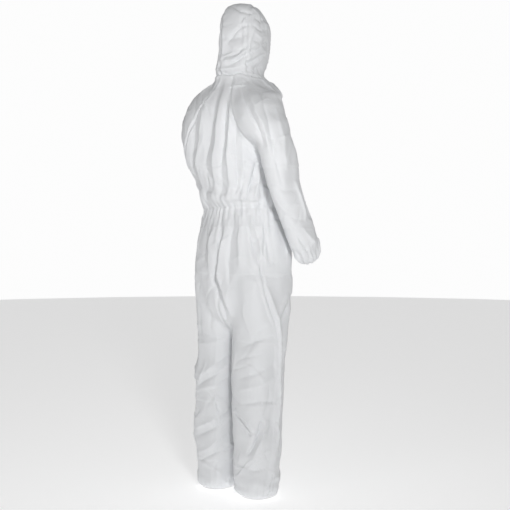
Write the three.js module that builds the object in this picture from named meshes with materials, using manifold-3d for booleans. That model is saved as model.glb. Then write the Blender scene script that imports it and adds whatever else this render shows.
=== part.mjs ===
// A hooded disposable coverall for chemical protection, filled out as if a wearer stood in it.
// Millimetres, +Z up. The wearer's feet stand at z = 0 around the origin and face -Y, so +X is the wearer's left.
// Each cut piece of fabric is a thin bent wall; a section that folds at a joint is a piece of its own.
import * as THREE from "three";
import Module from "manifold-3d";
import { mergeVertices } from "three/addons/utils/BufferGeometryUtils.js";

// ---- driving dimensions ----
const WALL = 2.6; // thickness that stands for one layer of fabric
const SEAM = 0.8; // gap left between two pieces that are sewn together
const CROWN_Z = 1800; // top of the hood
const NECK_Z = 1510; // neck seam
const UNDERARM_Z = 1225;
const WAIST_Z = 1047;
const HIP_Z = 700; // lower edge of the seat and the lower fronts
const CROTCH_Z = 650;
const THIGH_TOP_Z = 600;
const KNEE_Z = 470;
const KNEE_HALF = 62; // half the height of the section that folds at the knee
const ANKLE_Z = 26; // top of the ankle elastic
const ZIP_BOTTOM_Z = 862;
const HOOD_TURN = THREE.MathUtils.degToRad(16); // the hood looks a little towards the wearer's left
const SECTION_POWER = 2.25; // how square the body's cross-sections are

const group = new THREE.Group();

// ---- materials ----
const look = (color, roughness, metalness = 0) => new THREE.MeshStandardMaterial({ color, roughness, metalness });
const fabric = look(0xf1f2f4, 0.75);
const elastic = look(0xe6e7e8, 0.85);
const tape = look(0xf4f4f4, 0.8);
const coilPlastic = look(0xeff0f0, 0.4);
const sliderMetal = look(0xb9bcc0, 0.35, 0.9);
const adhesive = look(0xd9dee2, 0.25);

// ---- tools for bent walls ----
const rad = THREE.MathUtils.degToRad;
const lerp = THREE.MathUtils.lerp;

// A smooth value at t from rows of [t, value, value, ...], by cubic pieces through the rows.
function stations(rows) {
  return (t) => {
    const last = rows.length - 1;
    let i = 0;
    while (i < last - 1 && t > rows[i + 1][0]) i++;
    const [before, from, to, after] = [i - 1, i, i + 1, i + 2].map((k) => rows[THREE.MathUtils.clamp(k, 0, last)]);
    const span = to[0] - from[0];
    const s = THREE.MathUtils.clamp((t - from[0]) / span, 0, 1);
    return from.slice(1).map((_, k) => {
      const slope = (a, b) => (b[0] === a[0] ? 0 : ((b[k + 1] - a[k + 1]) / (b[0] - a[0])) * span);
      const [leave, arrive] = [slope(before, to), slope(from, after)];
      const [s2, s3] = [s * s, s * s * s];
      return (2 * s3 - 3 * s2 + 1) * from[k + 1] + (s3 - 2 * s2 + s) * leave
        + (3 * s2 - 2 * s3) * to[k + 1] + (s3 - s2) * arrive;
    });
  };
}

// The outward normal of a surface whose u runs anticlockwise seen from above and whose v runs up.
function normalOf(surface, u, v) {
  const step = 0.004;
  const along = (du, dv) => surface(u + du, v + dv).sub(surface(u - du, v - dv));
  return along(step, 0).cross(along(0, step)).normalize();
}

// A geometry whose vertices are moved by place(x, y, z), closed and with its faces pointing out.
function bent(geometry, place) {
  geometry.deleteAttribute("normal");
  geometry.deleteAttribute("uv");
  const position = geometry.attributes.position;
  for (let i = 0; i < position.count; i++) {
    const p = place(position.getX(i), position.getY(i), position.getZ(i));
    position.setXYZ(i, p.x, p.y, p.z);
  }
  const closed = mergeVertices(geometry, 1e-3);
  if (volumeOf(closed) < 0) {
    const index = closed.index.array;
    for (let i = 0; i < index.length; i += 3) [index[i], index[i + 1]] = [index[i + 1], index[i]];
  }
  closed.computeVertexNormals();
  return closed;
}

function volumeOf(geometry) {
  const { array } = geometry.index;
  const corner = (i) => new THREE.Vector3().fromBufferAttribute(geometry.attributes.position, array[i]);
  let six = 0;
  for (let i = 0; i < array.length; i += 3) six += corner(i).dot(corner(i + 1).cross(corner(i + 2)));
  return six / 6;
}

function add(name, geometry, material, parent = group) {
  const mesh = new THREE.Mesh(geometry, material);
  mesh.name = name;
  parent.add(mesh);
  return mesh;
}

const UP = new THREE.Vector3(0, 0, 1);

// The way into the wall from its outer face; a wall with an axis keeps its ends square to that axis.
function inward(surface, u, v, axis) {
  const n = normalOf(surface, u, v);
  return (axis ? n.addScaledVector(axis, -n.dot(axis)).normalize() : n).negate();
}

// An open piece of wall over u and v from 0 to 1, with its outer face on the surface.
function panel(name, surface, [across, up], options = {}) {
  const { thick = WALL, inset = 0, material = fabric, parent = group, axis } = options;
  const place = (x, y, z) => {
    const [u, v] = [x + 0.5, y + 0.5];
    return surface(u, v).addScaledVector(inward(surface, u, v, axis), inset + (0.5 - z) * thick);
  };
  return add(name, bent(new THREE.BoxGeometry(1, 1, 1, across, up, 1), place), material, parent);
}

// A closed ring of wall: u goes once round, v goes up.
function ring(name, surface, [around, up], options = {}) {
  const { thick = WALL, material = fabric, parent = group, axis } = options;
  const rows = Array.from({ length: up + 1 }, (_, k) => k / up);
  const profile = [...rows.map((v) => [2, v]), ...rows.reverse().map((v) => [1, v]), [2, 0]];
  const place = (x, y, z) => {
    const u = (Math.atan2(x, z) / (2 * Math.PI) + 1) % 1;
    const layer = Math.hypot(x, z) - 1; // 1 is the outer face, 0 the inner one
    return surface(u, y).addScaledVector(inward(surface, u, y, axis), (1 - layer) * thick);
  };
  const lathe = new THREE.LatheGeometry(profile.map(([r, v]) => new THREE.Vector2(r, v)), around);
  return add(name, bent(lathe, place), material, parent);
}

// ---- the trunk: one stack of cross-sections from the hips to the neck ----
// z, half width, depth behind and in front of the side seams
const FRONT_AT_NECK = 92;
const FRONT_SLOPE = 0.0703; // the front edge is one straight line, so that the zip is straight
const frontAt = (z) => FRONT_AT_NECK + (NECK_Z - Math.max(z, ZIP_BOTTOM_Z)) * FRONT_SLOPE;
const trunkAt = stations([
  [600, 190, 140], [HIP_Z, 198, 148], [760, 200, 150], [850, 197, 150], [950, 184, 138], [1010, 164, 118],
  [WAIST_Z, 150, 105], [1080, 149, 120], [1150, 150, 148], [1215, 154, 166], [1250, 160, 172], [1340, 172, 171],
  [1400, 168, 160], [1440, 150, 144], [1475, 120, 120], [NECK_Z, 88, 88], [1545, 84, 84],
]);

const signedPower = (value, power) => Math.sign(value) * Math.abs(value) ** power;

// Angles are in degrees from the wearer's left (+X) round the back (+Y): 90 is the back, 180 the right, 270 the front.
function oval(angle, halfWidth, back, front) {
  const [c, s] = [Math.cos(rad(angle)), Math.sin(rad(angle))];
  const power = 2 / SECTION_POWER;
  return [halfWidth * signedPower(c, power), (s > 0 ? back : front) * signedPower(s, power)];
}

function trunk(angle, z) {
  const [halfWidth, back] = trunkAt(z);
  const [x, y] = oval(angle, halfWidth, back, frontAt(z));
  return new THREE.Vector3(x, y, z);
}

// The raglan seams run from the underarm to the neck: angle of the seam at each height, on the wearer's right.
const SIDE_SEAM = 170;
const raglanBack = stations([
  [UNDERARM_Z, SIDE_SEAM - 2], [1236, 148], [1255, 136], [1290, 126], [1355, 114], [1420, 105], [NECK_Z, 104],
]);
const raglanFront = stations([
  [UNDERARM_Z, SIDE_SEAM + 2], [1236, 194], [1255, 209], [1290, 222], [1355, 236], [1420, 247], [NECK_Z, 250],
]);
const SEAM_ANGLE = 0.25; // degrees that a seam keeps free on each side
const TRUNK_ROWS = [WAIST_Z + SEAM, 1090, 1140, 1190, 1226, 1240, 1262, 1300, 1355, 1420, NECK_Z - SEAM];
const rowHeight = (rows, v) => {
  const at = v * (rows.length - 1);
  const i = THREE.MathUtils.clamp(Math.floor(at), 0, rows.length - 2);
  return lerp(rows[i], rows[i + 1], at - i);
};
const sideAngle = (seam, z) => (z < UNDERARM_Z ? SIDE_SEAM : seam(z)[0]);

function upperTrunk() {
  const up = TRUNK_ROWS.length - 1;
  panel("back_panel", (u, v) => {
    const z = rowHeight(TRUNK_ROWS, v);
    const right = sideAngle(raglanBack, z) - SEAM_ANGLE;
    return trunk(lerp(180 - right, right, u), z);
  }, [14, up]);
  const edge = ZIP_HALF_GAP + SEAM;
  panel("right_front_panel", (u, v) => {
    const z = rowHeight(TRUNK_ROWS, v);
    const side = trunk(sideAngle(raglanFront, z) + SEAM_ANGLE, z);
    return frontRow(side, -edge, z, 1 - u);
  }, [7, up]);
  panel("left_front_panel", (u, v) => {
    const z = rowHeight(TRUNK_ROWS, v);
    const side = trunk(sideAngle(raglanFront, z) + SEAM_ANGLE, z).multiply(new THREE.Vector3(-1, 1, 1));
    return frontRow(side, edge, z, u);
  }, [7, up]);
}

// A point between the edge beside the zip (t = 0) and a point at the side (t = 1), round the front of the trunk.
function frontRow(side, edgeX, z, t) {
  const [halfWidth, back] = trunkAt(z);
  const front = frontAt(z);
  const turnOf = (value) => signedPower(value, SECTION_POWER / 2);
  const turn = Math.atan2(-turnOf(side.y / (side.y > 0 ? back : front)), turnOf(side.x / halfWidth));
  const sideTurn = turn < -Math.PI / 2 ? turn + 2 * Math.PI : turn;
  const angle = -lerp(Math.acos(turnOf(edgeX / halfWidth)), sideTurn, t);
  const [x, y] = oval(THREE.MathUtils.radToDeg(angle), halfWidth, back, front);
  return new THREE.Vector3(x, y, z);
}

// ---- the zip: two woven tapes, two coils, stops, a slider and its pull tab ----
const ZIP_HALF_GAP = 5.5; // from the centre line to the fabric's edge
const ZIP_TOP_Z = NECK_Z - 6;
const zipAxis = new THREE.Vector3(0, FRONT_SLOPE, 1).normalize(); // up along the zip
const zipFront = new THREE.Vector3(0, -1, FRONT_SLOPE).normalize(); // out of the zip
const zipFoot = new THREE.Vector3(0, -frontAt(ZIP_BOTTOM_Z), ZIP_BOTTOM_Z);
const zipLength = (ZIP_TOP_Z - ZIP_BOTTOM_Z) / zipAxis.z;

// A group whose x runs across the zip, y up along it and z out of it, with its origin on the zip's line.
function onZip(along, out = 0) {
  const holder = new THREE.Group();
  const across = new THREE.Vector3().crossVectors(zipAxis, zipFront);
  holder.matrixAutoUpdate = false;
  holder.matrix.makeBasis(across, zipAxis, zipFront);
  holder.matrix.setPosition(zipFoot.clone().addScaledVector(zipAxis, along).addScaledVector(zipFront, out));
  group.add(holder);
  return holder;
}

// A box with rounded corners in the zip's plane, from its lowest to its highest point out of the zip.
function zipPlate([x0, x1], [y0, y1], [z0, z1], corner) {
  const shape = new THREE.Shape();
  shape.moveTo(x0 + corner, y0).lineTo(x1 - corner, y0).absarc(x1 - corner, y0 + corner, corner, -Math.PI / 2, 0);
  shape.lineTo(x1, y1 - corner).absarc(x1 - corner, y1 - corner, corner, 0, Math.PI / 2);
  shape.lineTo(x0 + corner, y1).absarc(x0 + corner, y1 - corner, corner, Math.PI / 2, Math.PI);
  shape.lineTo(x0, y0 + corner).absarc(x0 + corner, y0 + corner, corner, Math.PI, Math.PI * 1.5);
  return new THREE.ExtrudeGeometry(shape, { depth: z1 - z0, bevelEnabled: false, curveSegments: 3 }).translate(0, 0, z0);
}

const TAPE_WIDTH = 15;
const COIL_WIDTH = 2.7;
const COIL_HEIGHT = 2.4;
const BEHIND = -WALL - 2.2; // the tapes lie behind the fabric's edge

function zip() {
  const holder = onZip(0);
  for (const [side, sign] of [["left", 1], ["right", -1]]) {
    const span = (from, to) => [sign * from, sign * to].sort((a, b) => a - b);
    add(`${side}_zip_tape`, zipPlate(span(0.3, TAPE_WIDTH), [0, zipLength], [BEHIND - 0.9, BEHIND], 0.1), tape, holder);
    add(`${side}_zip_coil`, zipPlate(span(0.3, COIL_WIDTH), [4, zipLength - 9], [BEHIND + 0.3, BEHIND + COIL_HEIGHT], 0.4),
      coilPlastic, holder);
    add(`${side}_zip_top_stop`, zipPlate(span(0.6, 3.6), [zipLength - 6, zipLength - 2], [BEHIND + 0.3, BEHIND + 3.2], 0.6),
      coilPlastic, holder);
  }
  add("zip_bottom_stop", zipPlate([-4, 4], [-2.5, 3.2], [BEHIND + 0.3, BEHIND + 3.4], 1), coilPlastic, holder);
}

// The slider: a top plate over the coils with a bridge that carries the pull tab's pin.
const SLIDER_AT = zipLength - 22; // its middle, along the zip, when the zip is closed
const SLIDER_BASE = BEHIND + COIL_HEIGHT + 0.4;
const PIN_RADIUS = 0.8;
const PIN_OUT = SLIDER_BASE + 3.4;
const PIN_UP = 3.2;
const PULL_HALF = 3.6;
const PULL_REACH = 30;

const wasm = await Module();
wasm.setup();

// A three.js geometry as a solid that can be joined and cut, and back again.
function solid(geometry) {
  geometry.deleteAttribute("normal");
  geometry.deleteAttribute("uv");
  const merged = mergeVertices(geometry, 1e-4);
  const vertProperties = merged.attributes.position.array;
  return new wasm.Manifold(new wasm.Mesh({ numProp: 3, vertProperties, triVerts: new Uint32Array(merged.index.array) }));
}

function fromSolid(made) {
  const mesh = made.getMesh();
  const geometry = new THREE.BufferGeometry();
  geometry.setAttribute("position", new THREE.BufferAttribute(new Float32Array(mesh.vertProperties), 3));
  geometry.setIndex(new THREE.BufferAttribute(new Uint32Array(mesh.triVerts), 1));
  geometry.computeVertexNormals();
  return geometry;
}

const crossPin = (radius, length) => solid(new THREE.CylinderGeometry(radius, radius, length, 12).rotateZ(Math.PI / 2));

function sliderAndPull() {
  const plate = solid(zipPlate([-4.6, 4.6], [-7, 7], [SLIDER_BASE, SLIDER_BASE + 1.4], 2.2));
  const bridge = solid(zipPlate([-1.6, 1.6], [-1.2, 6.2], [SLIDER_BASE + 1.2, PIN_OUT + 1.8], 0.5));
  const hole = crossPin(PIN_RADIUS + 0.15, 8).translate([0, PIN_UP, PIN_OUT]);
  add("zip_slider", fromSolid(plate.add(bridge).subtract(hole)), sliderMetal, onZip(SLIDER_AT));

  // The tab's two ears hold the pin that runs through the bridge.
  const tab = solid(zipPlate([-PULL_HALF, PULL_HALF], [-PULL_REACH, 1.4], [-0.5, 0.5], 1.2));
  const fork = solid(zipPlate([-2.1, 2.1], [-7, 3], [-1, 1], 0.2));
  const grip = solid(zipPlate([-1.6, 1.6], [-PULL_REACH + 3, -PULL_REACH + 14], [-1, 1], 0.8));
  const pin = crossPin(PIN_RADIUS, 2 * PULL_HALF - 1);
  add("zip_pull", fromSolid(tab.subtract(fork).subtract(grip).add(pin)), sliderMetal, onZip(SLIDER_AT + PIN_UP, PIN_OUT));
}

// ---- the storm flap: a strip sewn beside the zip that folds over it, with adhesive tape under its free edge ----
const FLAP_HINGE_X = 34;
const FLAP_FREE_X = -30;
const FLAP_OUT = 10.5; // how far the flap stands off the zip, so that the slider runs under it
const FLAP_LENGTH = SLIDER_AT - 38;

function stormFlap() {
  const holder = onZip(0);
  const rise = (x) => THREE.MathUtils.mapLinear(Math.min(Math.abs(x), FLAP_HINGE_X), 14, FLAP_HINGE_X, FLAP_OUT, 1.4);
  const out = (x) => Math.min(FLAP_OUT, rise(x)) + (x < 0 ? Math.max(0, (-x - 14) * 0.12) : 0);
  const outline = (from, to, low, thick) => (u, v) => {
    const x = lerp(from, to, u);
    return new THREE.Vector3(x, lerp(8, FLAP_LENGTH, v), out(x) + low + thick);
  };
  const flap = panel("storm_flap", outline(FLAP_FREE_X, FLAP_HINGE_X, 0, 1.2), [8, 2], { thick: 1.2, parent: holder });
  panel("flap_adhesive_tape", outline(FLAP_FREE_X + 3, FLAP_FREE_X + 13, -0.8, 0.5), [2, 2],
    { thick: 0.5, material: adhesive, parent: holder });
  return flap;
}

// ---- waist elastic: a band inside the waist seam from one front to the other, by way of the back ----
function waistElastic() {
  panel("waist_elastic", (u, v) => trunk(lerp(-62, 242, u), lerp(WAIST_Z - 8, WAIST_Z + 8, v)), [22, 2],
    { thick: 1.4, inset: WALL + 2.4, material: elastic });
}

// ---- the seat, the lower fronts and the crotch gusset ----
const crotchCurve = (y) => CROTCH_Z + (HIP_Z - CROTCH_Z) * ((y - 8) / 139) ** 2;
const gussetHalf = (y) => 3 + 15 * Math.cos((Math.PI / 2) * THREE.MathUtils.clamp((y - 8) / 139, -1, 1));
const LOWER_ROWS = [HIP_Z + SEAM, 760, 810, ZIP_BOTTOM_Z - 10, ZIP_BOTTOM_Z - 5, 915, 970, 1015, WAIST_Z - SEAM];

function lowerTrunk() {
  const up = LOWER_ROWS.length - 1;
  const patch = (from, to) => (u, v) => trunk(lerp(from, to, u), rowHeight(LOWER_ROWS, v));
  panel("left_seat", patch(SEAM_ANGLE, 90 - SEAM_ANGLE), [7, up], { axis: UP });
  panel("right_seat", patch(90 + SEAM_ANGLE, 180 - SEAM_ANGLE), [7, up], { axis: UP });
  for (const [side, sign] of [["right", -1], ["left", 1]]) {
    panel(`${side}_lower_front`, (u, v) => {
      const z = rowHeight(LOWER_ROWS, v);
      const inner = z > ZIP_BOTTOM_Z - 7 ? ZIP_HALF_GAP + SEAM : SEAM;
      const [halfWidth] = trunkAt(z);
      const sideways = new THREE.Vector3(sign * halfWidth * 0.9999, -0.9, z);
      return frontRow(sideways, sign * inner, z, sign > 0 ? u : 1 - u);
    }, [7, up], { axis: UP });
  }
  panel("crotch_gusset", (u, v) => {
    const y = lerp(138, -122, v);
    const half = gussetHalf(y) - SEAM;
    return new THREE.Vector3(lerp(half, -half, u), y, crotchCurve(y));
  }, [2, 12], { thick: -WALL });
}

// ---- limbs: tubes along two bones ----
const alongX = (angle) => (v) => v.applyAxisAngle(new THREE.Vector3(1, 0, 0), -angle); // a swing to the front

// A cross-section of a limb, anticlockwise seen from above; angle as on the trunk.
function limbPoint(centre, angle, halfX, halfY, lean, side = 1) {
  const [x, y] = oval(angle, halfX, halfY, halfY);
  return alongX(lean)(new THREE.Vector3(x * side, y, 0)).add(centre);
}

const HEM_WALL = 3.2; // the folded hem with its elastic
const LEG_X = 100;
const LEG_Y = 26;
const legAt = stations([
  [0, 64, 78], [8, 76, 90], [30, 86, 99], [80, 90, 103], [250, 90, 102], [KNEE_Z, 91, 101], [THIGH_TOP_Z, 92, 106],
  [650, 93, 112],
]);

function leg(side, sign) {
  const tube = (angle, z) => {
    const [halfX, halfY] = legAt(z);
    const settle = LEG_Y * (1 - THREE.MathUtils.smoothstep(z, KNEE_Z, HIP_Z));
    return limbPoint(new THREE.Vector3(sign * LEG_X, settle, z), angle, halfX, halfY, 0);
  };
  const rows = (z0, z1) => (v) => lerp(z0 + SEAM / 2, z1 - SEAM / 2, v);
  const half = (from, to, z0, z1) => (u, v) => tube(lerp(from + SEAM_ANGLE, to - SEAM_ANGLE, u), rows(z0, z1)(v));
  const whole = (z0, z1) => (u, v) => tube(u * 360, rows(z0, z1)(v));
  const [kneeTop, kneeBottom] = [KNEE_Z + KNEE_HALF, KNEE_Z - KNEE_HALF];
  panel(`${side}_thigh_back`, half(0, 180, kneeTop, THIGH_TOP_Z), [9, 2], { axis: UP });
  panel(`${side}_thigh_front`, half(180, 360, kneeTop, THIGH_TOP_Z), [9, 2], { axis: UP });
  panel(`${side}_shin_back`, half(0, 180, ANKLE_Z, kneeBottom), [9, 5], { axis: UP });
  panel(`${side}_shin_front`, half(180, 360, ANKLE_Z, kneeBottom), [9, 5], { axis: UP });
  ring(`${side}_knee_section`, whole(kneeBottom, kneeTop), [18, 3], { axis: UP });
  ring(`${side}_ankle_elastic`, (u, v) => tube(u * 360, lerp(0, ANKLE_Z - SEAM / 2, v)), [18, 3],
    { thick: HEM_WALL, axis: UP });

  // The hip section runs from the trunk's lower edge and the gusset's edge down to the top of the thigh.
  const hipLoop = (angle) => {
    const turned = sign > 0 ? angle : 180 - angle; // 0 is the outer side, 180 the inner one
    const t = ((turned % 360) + 360) % 360;
    if (t <= 90 || t >= 270) {
      const edge = 88.5;
      const out = (t <= 90 ? t : t - 360) * (edge / 90);
      const p = trunk(sign > 0 ? out : 180 - out, HIP_Z - SEAM);
      return p;
    }
    const back = trunk(88.5, HIP_Z).y;
    const front = -frontAt(HIP_Z);
    const y = lerp(back, front, (t - 90) / 180);
    return new THREE.Vector3(sign * (gussetHalf(y) + SEAM), y, crotchCurve(y) - SEAM);
  };
  ring(`${side}_hip_section`, (u, v) => {
    const low = tube(u * 360, THIGH_TOP_Z + SEAM / 2);
    return low.lerp(hipLoop(u * 360), THREE.MathUtils.clamp(v, -0.2, 1.2));
  }, [24, 4]);
}

// The arm hangs from the shoulder, splayed a little, swung to the front and bent at the elbow.
const SHOULDER = { x: 188, y: 62, z: 1400 };
const UPPER_ARM = 270;
const FOREARM = 314;
const UPPER_SPLAY = rad(10);
const FORE_SPLAY = rad(2.5);
const ELBOW_HALF = 60;
const CUFF_LENGTH = 24;
const ARMS = { right: { sign: -1, swing: rad(4), bend: rad(21) }, left: { sign: 1, swing: rad(30), bend: rad(20) } };
// half width and half depth of the sleeve, by distance from the shoulder along the arm
const sleeveAt = stations([
  [0, 70, 86], [150, 63, 80], [UPPER_ARM, 61, 76], [UPPER_ARM + 200, 54, 68], [UPPER_ARM + FOREARM - 60, 52, 65],
  [UPPER_ARM + FOREARM - 30, 47, 58], [UPPER_ARM + FOREARM - 8, 38, 44], [UPPER_ARM + FOREARM, 34, 38],
]);

function arm(side) {
  const { sign, swing, bend } = ARMS[side];
  const bone = (splay, lean) => alongX(lean)(new THREE.Vector3(sign * Math.sin(splay), 0, -Math.cos(splay)));
  const shoulder = new THREE.Vector3(sign * SHOULDER.x, SHOULDER.y, SHOULDER.z);
  const [upper, fore] = [bone(UPPER_SPLAY, swing), bone(FORE_SPLAY, swing + bend)];
  const elbow = shoulder.clone().addScaledVector(upper, UPPER_ARM);
  // A point of the sleeve at a distance down the arm; the bend is spread over the elbow section.
  const sleeve = (angle, down) => {
    const [halfX, halfY] = sleeveAt(down);
    const share = THREE.MathUtils.smoothstep(down, UPPER_ARM - ELBOW_HALF, UPPER_ARM + ELBOW_HALF);
    const centre = down < UPPER_ARM
      ? shoulder.clone().addScaledVector(upper, down)
      : elbow.clone().addScaledVector(fore, down - UPPER_ARM);
    return limbPoint(centre, angle, halfX, halfY, swing + bend * share);
  };
  const tube = (from, to) => (u, v) => sleeve(u * 360, lerp(to - SEAM / 2, from + SEAM / 2, v));

  // The upper edge of the sleeve slants: low at the underarm, high outside.
  const [lowEdge, highEdge] = [188, 90];
  const edgeDown = (angle) => {
    const outward = Math.cos(rad(angle)) * sign;
    return lerp(lowEdge, highEdge, (outward + 1) / 2);
  };
  const bottom = UPPER_ARM - ELBOW_HALF;
  const end = UPPER_ARM + FOREARM;
  const upperAxis = alongX(swing)(UP.clone());
  const foreAxis = alongX(swing + bend)(UP.clone());
  ring(`${side}_upper_sleeve`, (u, v) => sleeve(u * 360, lerp(bottom - SEAM / 2, edgeDown(u * 360) + SEAM / 2, v)),
    [ARMHOLE_STEPS, 3], { axis: upperAxis });
  ring(`${side}_elbow_section`, tube(bottom, UPPER_ARM + ELBOW_HALF), [18, 4]);
  ring(`${side}_forearm`, tube(UPPER_ARM + ELBOW_HALF, end - CUFF_LENGTH), [18, 6], { axis: foreAxis });
  ring(`${side}_cuff_elastic`, tube(end - CUFF_LENGTH, end), [18, 3], { thick: HEM_WALL, axis: foreAxis });

  // The raglan top joins the armhole's loop to the sleeve's upper edge.
  const shoulderBulge = new THREE.Vector3(sign * 26, 4, 50);
  ring(`${side}_raglan_top`, (u, v) => {
    const low = sleeve(u * 360, edgeDown(u * 360) - SEAM * 4);
    const outward = Math.max(0, Math.cos(u * 2 * Math.PI) * sign);
    return low.lerp(armholeLoop(u, sign), v).addScaledVector(shoulderBulge, 4 * v * (1 - v) * outward ** 0.8);
  }, [ARMHOLE_STEPS, 5]);
}

// The loop round the armhole: up the front raglan seam, round the side of the neck and down the back seam.
// Its corners stand at the same heights as the trunk panels' rows.
const LOOP_ROWS = [UNDERARM_Z + 7, ...TRUNK_ROWS.filter((z) => z > UNDERARM_Z + 10)];
const ARMHOLE_STEPS = 24;
const UNDERARM_CLEAR = 5; // how far the sleeve's lowest corners stand out from the trunk
const LOOP_GAP = 1.8; // degrees between the raglan seam on the trunk and on the sleeve

function armholeLoop(u, sign) {
  const turned = sign > 0 ? u : 0.5 - u; // 0 is outward, 0.25 the back, 0.5 the underarm, 0.75 the front
  const corner = (index) => {
    const k = ((index % ARMHOLE_STEPS) + ARMHOLE_STEPS) % ARMHOLE_STEPS;
    const fromUnder = Math.abs(k - ARMHOLE_STEPS / 2); // corners counted from the underarm
    const onSeam = LOOP_ROWS.length - 1;
    const z = LOOP_ROWS[Math.min(fromUnder, onSeam)];
    const atBack = k < ARMHOLE_STEPS / 2;
    const back = raglanBack(z)[0] + LOOP_GAP;
    const front = raglanFront(z)[0] - LOOP_GAP;
    let angle = atBack ? back : front;
    if (fromUnder === 0) angle = SIDE_SEAM;
    if (fromUnder > onSeam) {
      const ahead = k < ARMHOLE_STEPS / 2 ? -k : ARMHOLE_STEPS - k; // towards the front, from the outward corner
      const reach = ARMHOLE_STEPS / 2 - onSeam;
      angle = lerp(back, front, (ahead + reach) / (2 * reach));
    }
    const p = trunk(angle, z);
    const clear = fromUnder < 3 ? UNDERARM_CLEAR : 0;
    return p.setX(-sign * (p.x - clear));
  };
  const at = (((turned % 1) + 1) % 1) * ARMHOLE_STEPS;
  const first = Math.floor(at + 1e-9);
  return corner(first).lerp(corner(first + 1), at - first);
}

// ---- the hood: a centre panel from nape to forehead between two side panels, with elastic round the face ----
const HOOD = { centreY: -8, centreZ: 1660, halfWidth: 88, halfDepth: 106, top: CROWN_Z - 1660, below: 320, power: 2.3 };
const HOOD_SEAM_X = 52; // half the centre panel's width
const HOOD_SEAM = 1.6; // from the centre panel's edge to a side panel's
const FACE_Y = -90; // the plane of the face opening
const HOOD_BASE_Z = 1552;
const FACE_Z = 1648; // middle of the face opening
const FACE_HALF = 62;
const FACE_TALL = 84;

// What is left of the hood's cross-section after the other two coordinates have taken their share.
const remainder = (...shares) => Math.max(0, 1 - shares.reduce((sum, s) => sum + Math.abs(s) ** HOOD.power, 0)) ** (1 / HOOD.power);
const heightShare = (z) => (z - HOOD.centreZ) / (z > HOOD.centreZ ? HOOD.top : HOOD.below);
const hoodSide = (y, z) => HOOD.halfWidth * remainder((y - HOOD.centreY) / HOOD.halfDepth, heightShare(z));
const hoodBack = (x, z) => HOOD.centreY + HOOD.halfDepth * remainder(x / HOOD.halfWidth, heightShare(z));
const hoodTop = (x, y) => HOOD.centreZ + HOOD.top * remainder(x / HOOD.halfWidth, (y - HOOD.centreY) / HOOD.halfDepth);

function hood() {
  const turned = new THREE.Group();
  turned.rotation.z = HOOD_TURN;
  group.add(turned);
  const options = { parent: turned };
  const seamX = HOOD_SEAM_X;
  // The centre panel goes up the back, then over the crown to the face.
  panel("hood_centre_panel", (u, v) => {
    const x = lerp(seamX, -seamX, u);
    const rise = 0.3;
    if (v < rise) {
      const z = lerp(HOOD_BASE_Z, HOOD.centreZ, v / rise);
      return new THREE.Vector3(x, hoodBack(x, z), z);
    }
    const scale = remainder(x / HOOD.halfWidth);
    const front = (HOOD.centreY - FACE_Y) / (HOOD.halfDepth * scale);
    const last = Math.PI - Math.acos(Math.min(1, front ** (HOOD.power / 2)));
    const turn = last * ((v - rise) / (1 - rise));
    const power = 2 / HOOD.power;
    return new THREE.Vector3(x, HOOD.centreY + HOOD.halfDepth * scale * signedPower(Math.cos(turn), power),
      HOOD.centreZ + HOOD.top * scale * signedPower(Math.sin(turn), power));
  }, [6, 14], options);
  const backY = hoodBack(HOOD_SEAM_X, HOOD.centreZ);
  for (const [side, sign] of [["left", 1], ["right", -1]]) {
    panel(`hood_${side}_panel`, (u, v) => {
      const toBack = sign > 0 ? u : 1 - u;
      const y = lerp(FACE_Y, backY, toBack);
      const top = hoodTop(HOOD_SEAM_X + HOOD_SEAM, Math.min(y, backY - 0.01));
      const z = lerp(HOOD_BASE_Z, Math.max(top, HOOD.centreZ), v);
      const x = Math.max(hoodSide(y, z), HOOD_SEAM_X + HOOD_SEAM);
      return new THREE.Vector3(sign * x, Math.min(y, hoodBack(HOOD_SEAM_X + HOOD_SEAM, z)), z);
    }, [8, 7], options);
  }
  ring("face_elastic", (u, v) => {
    const angle = u * 2 * Math.PI;
    const [c, s] = [Math.cos(angle), Math.sin(angle)];
    const tall = s > 0 ? FACE_TALL + 6 : FACE_TALL;
    const [x, z] = [FACE_HALF * signedPower(c, 0.86), FACE_Z + tall * signedPower(s, 0.86)];
    return new THREE.Vector3(x, FACE_Y - lerp(1, 11, v), z);
  }, [24, 1], { parent: turned, thick: 6, material: fabric });

  // The neck section turns from the neck seam into the turned hood.
  ring("neck_section", (u, v) => {
    const angle = u * 360;
    const low = trunk(angle, NECK_Z + SEAM / 2);
    const lower = heightShare(HOOD_BASE_Z);
    const scale = remainder(lower);
    const power = 2 / HOOD.power;
    const [c, s] = [Math.cos(rad(angle)), Math.sin(rad(angle))];
    const high = new THREE.Vector3(HOOD.halfWidth * scale * signedPower(c, power),
      Math.max(FACE_Y, HOOD.centreY + HOOD.halfDepth * scale * signedPower(s, power)), HOOD_BASE_Z - 2);
    high.applyAxisAngle(new THREE.Vector3(0, 0, 1), HOOD_TURN);
    return low.lerp(high, THREE.MathUtils.clamp(v, -0.2, 1.2));
  }, [24, 3]);
}

upperTrunk();
zip();
sliderAndPull();
stormFlap();
waistElastic();
lowerTrunk();
for (const [side, sign] of [["left", 1], ["right", -1]]) leg(side, sign);
arm("right");
arm("left");
hood();

export default group;
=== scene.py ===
import math

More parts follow.
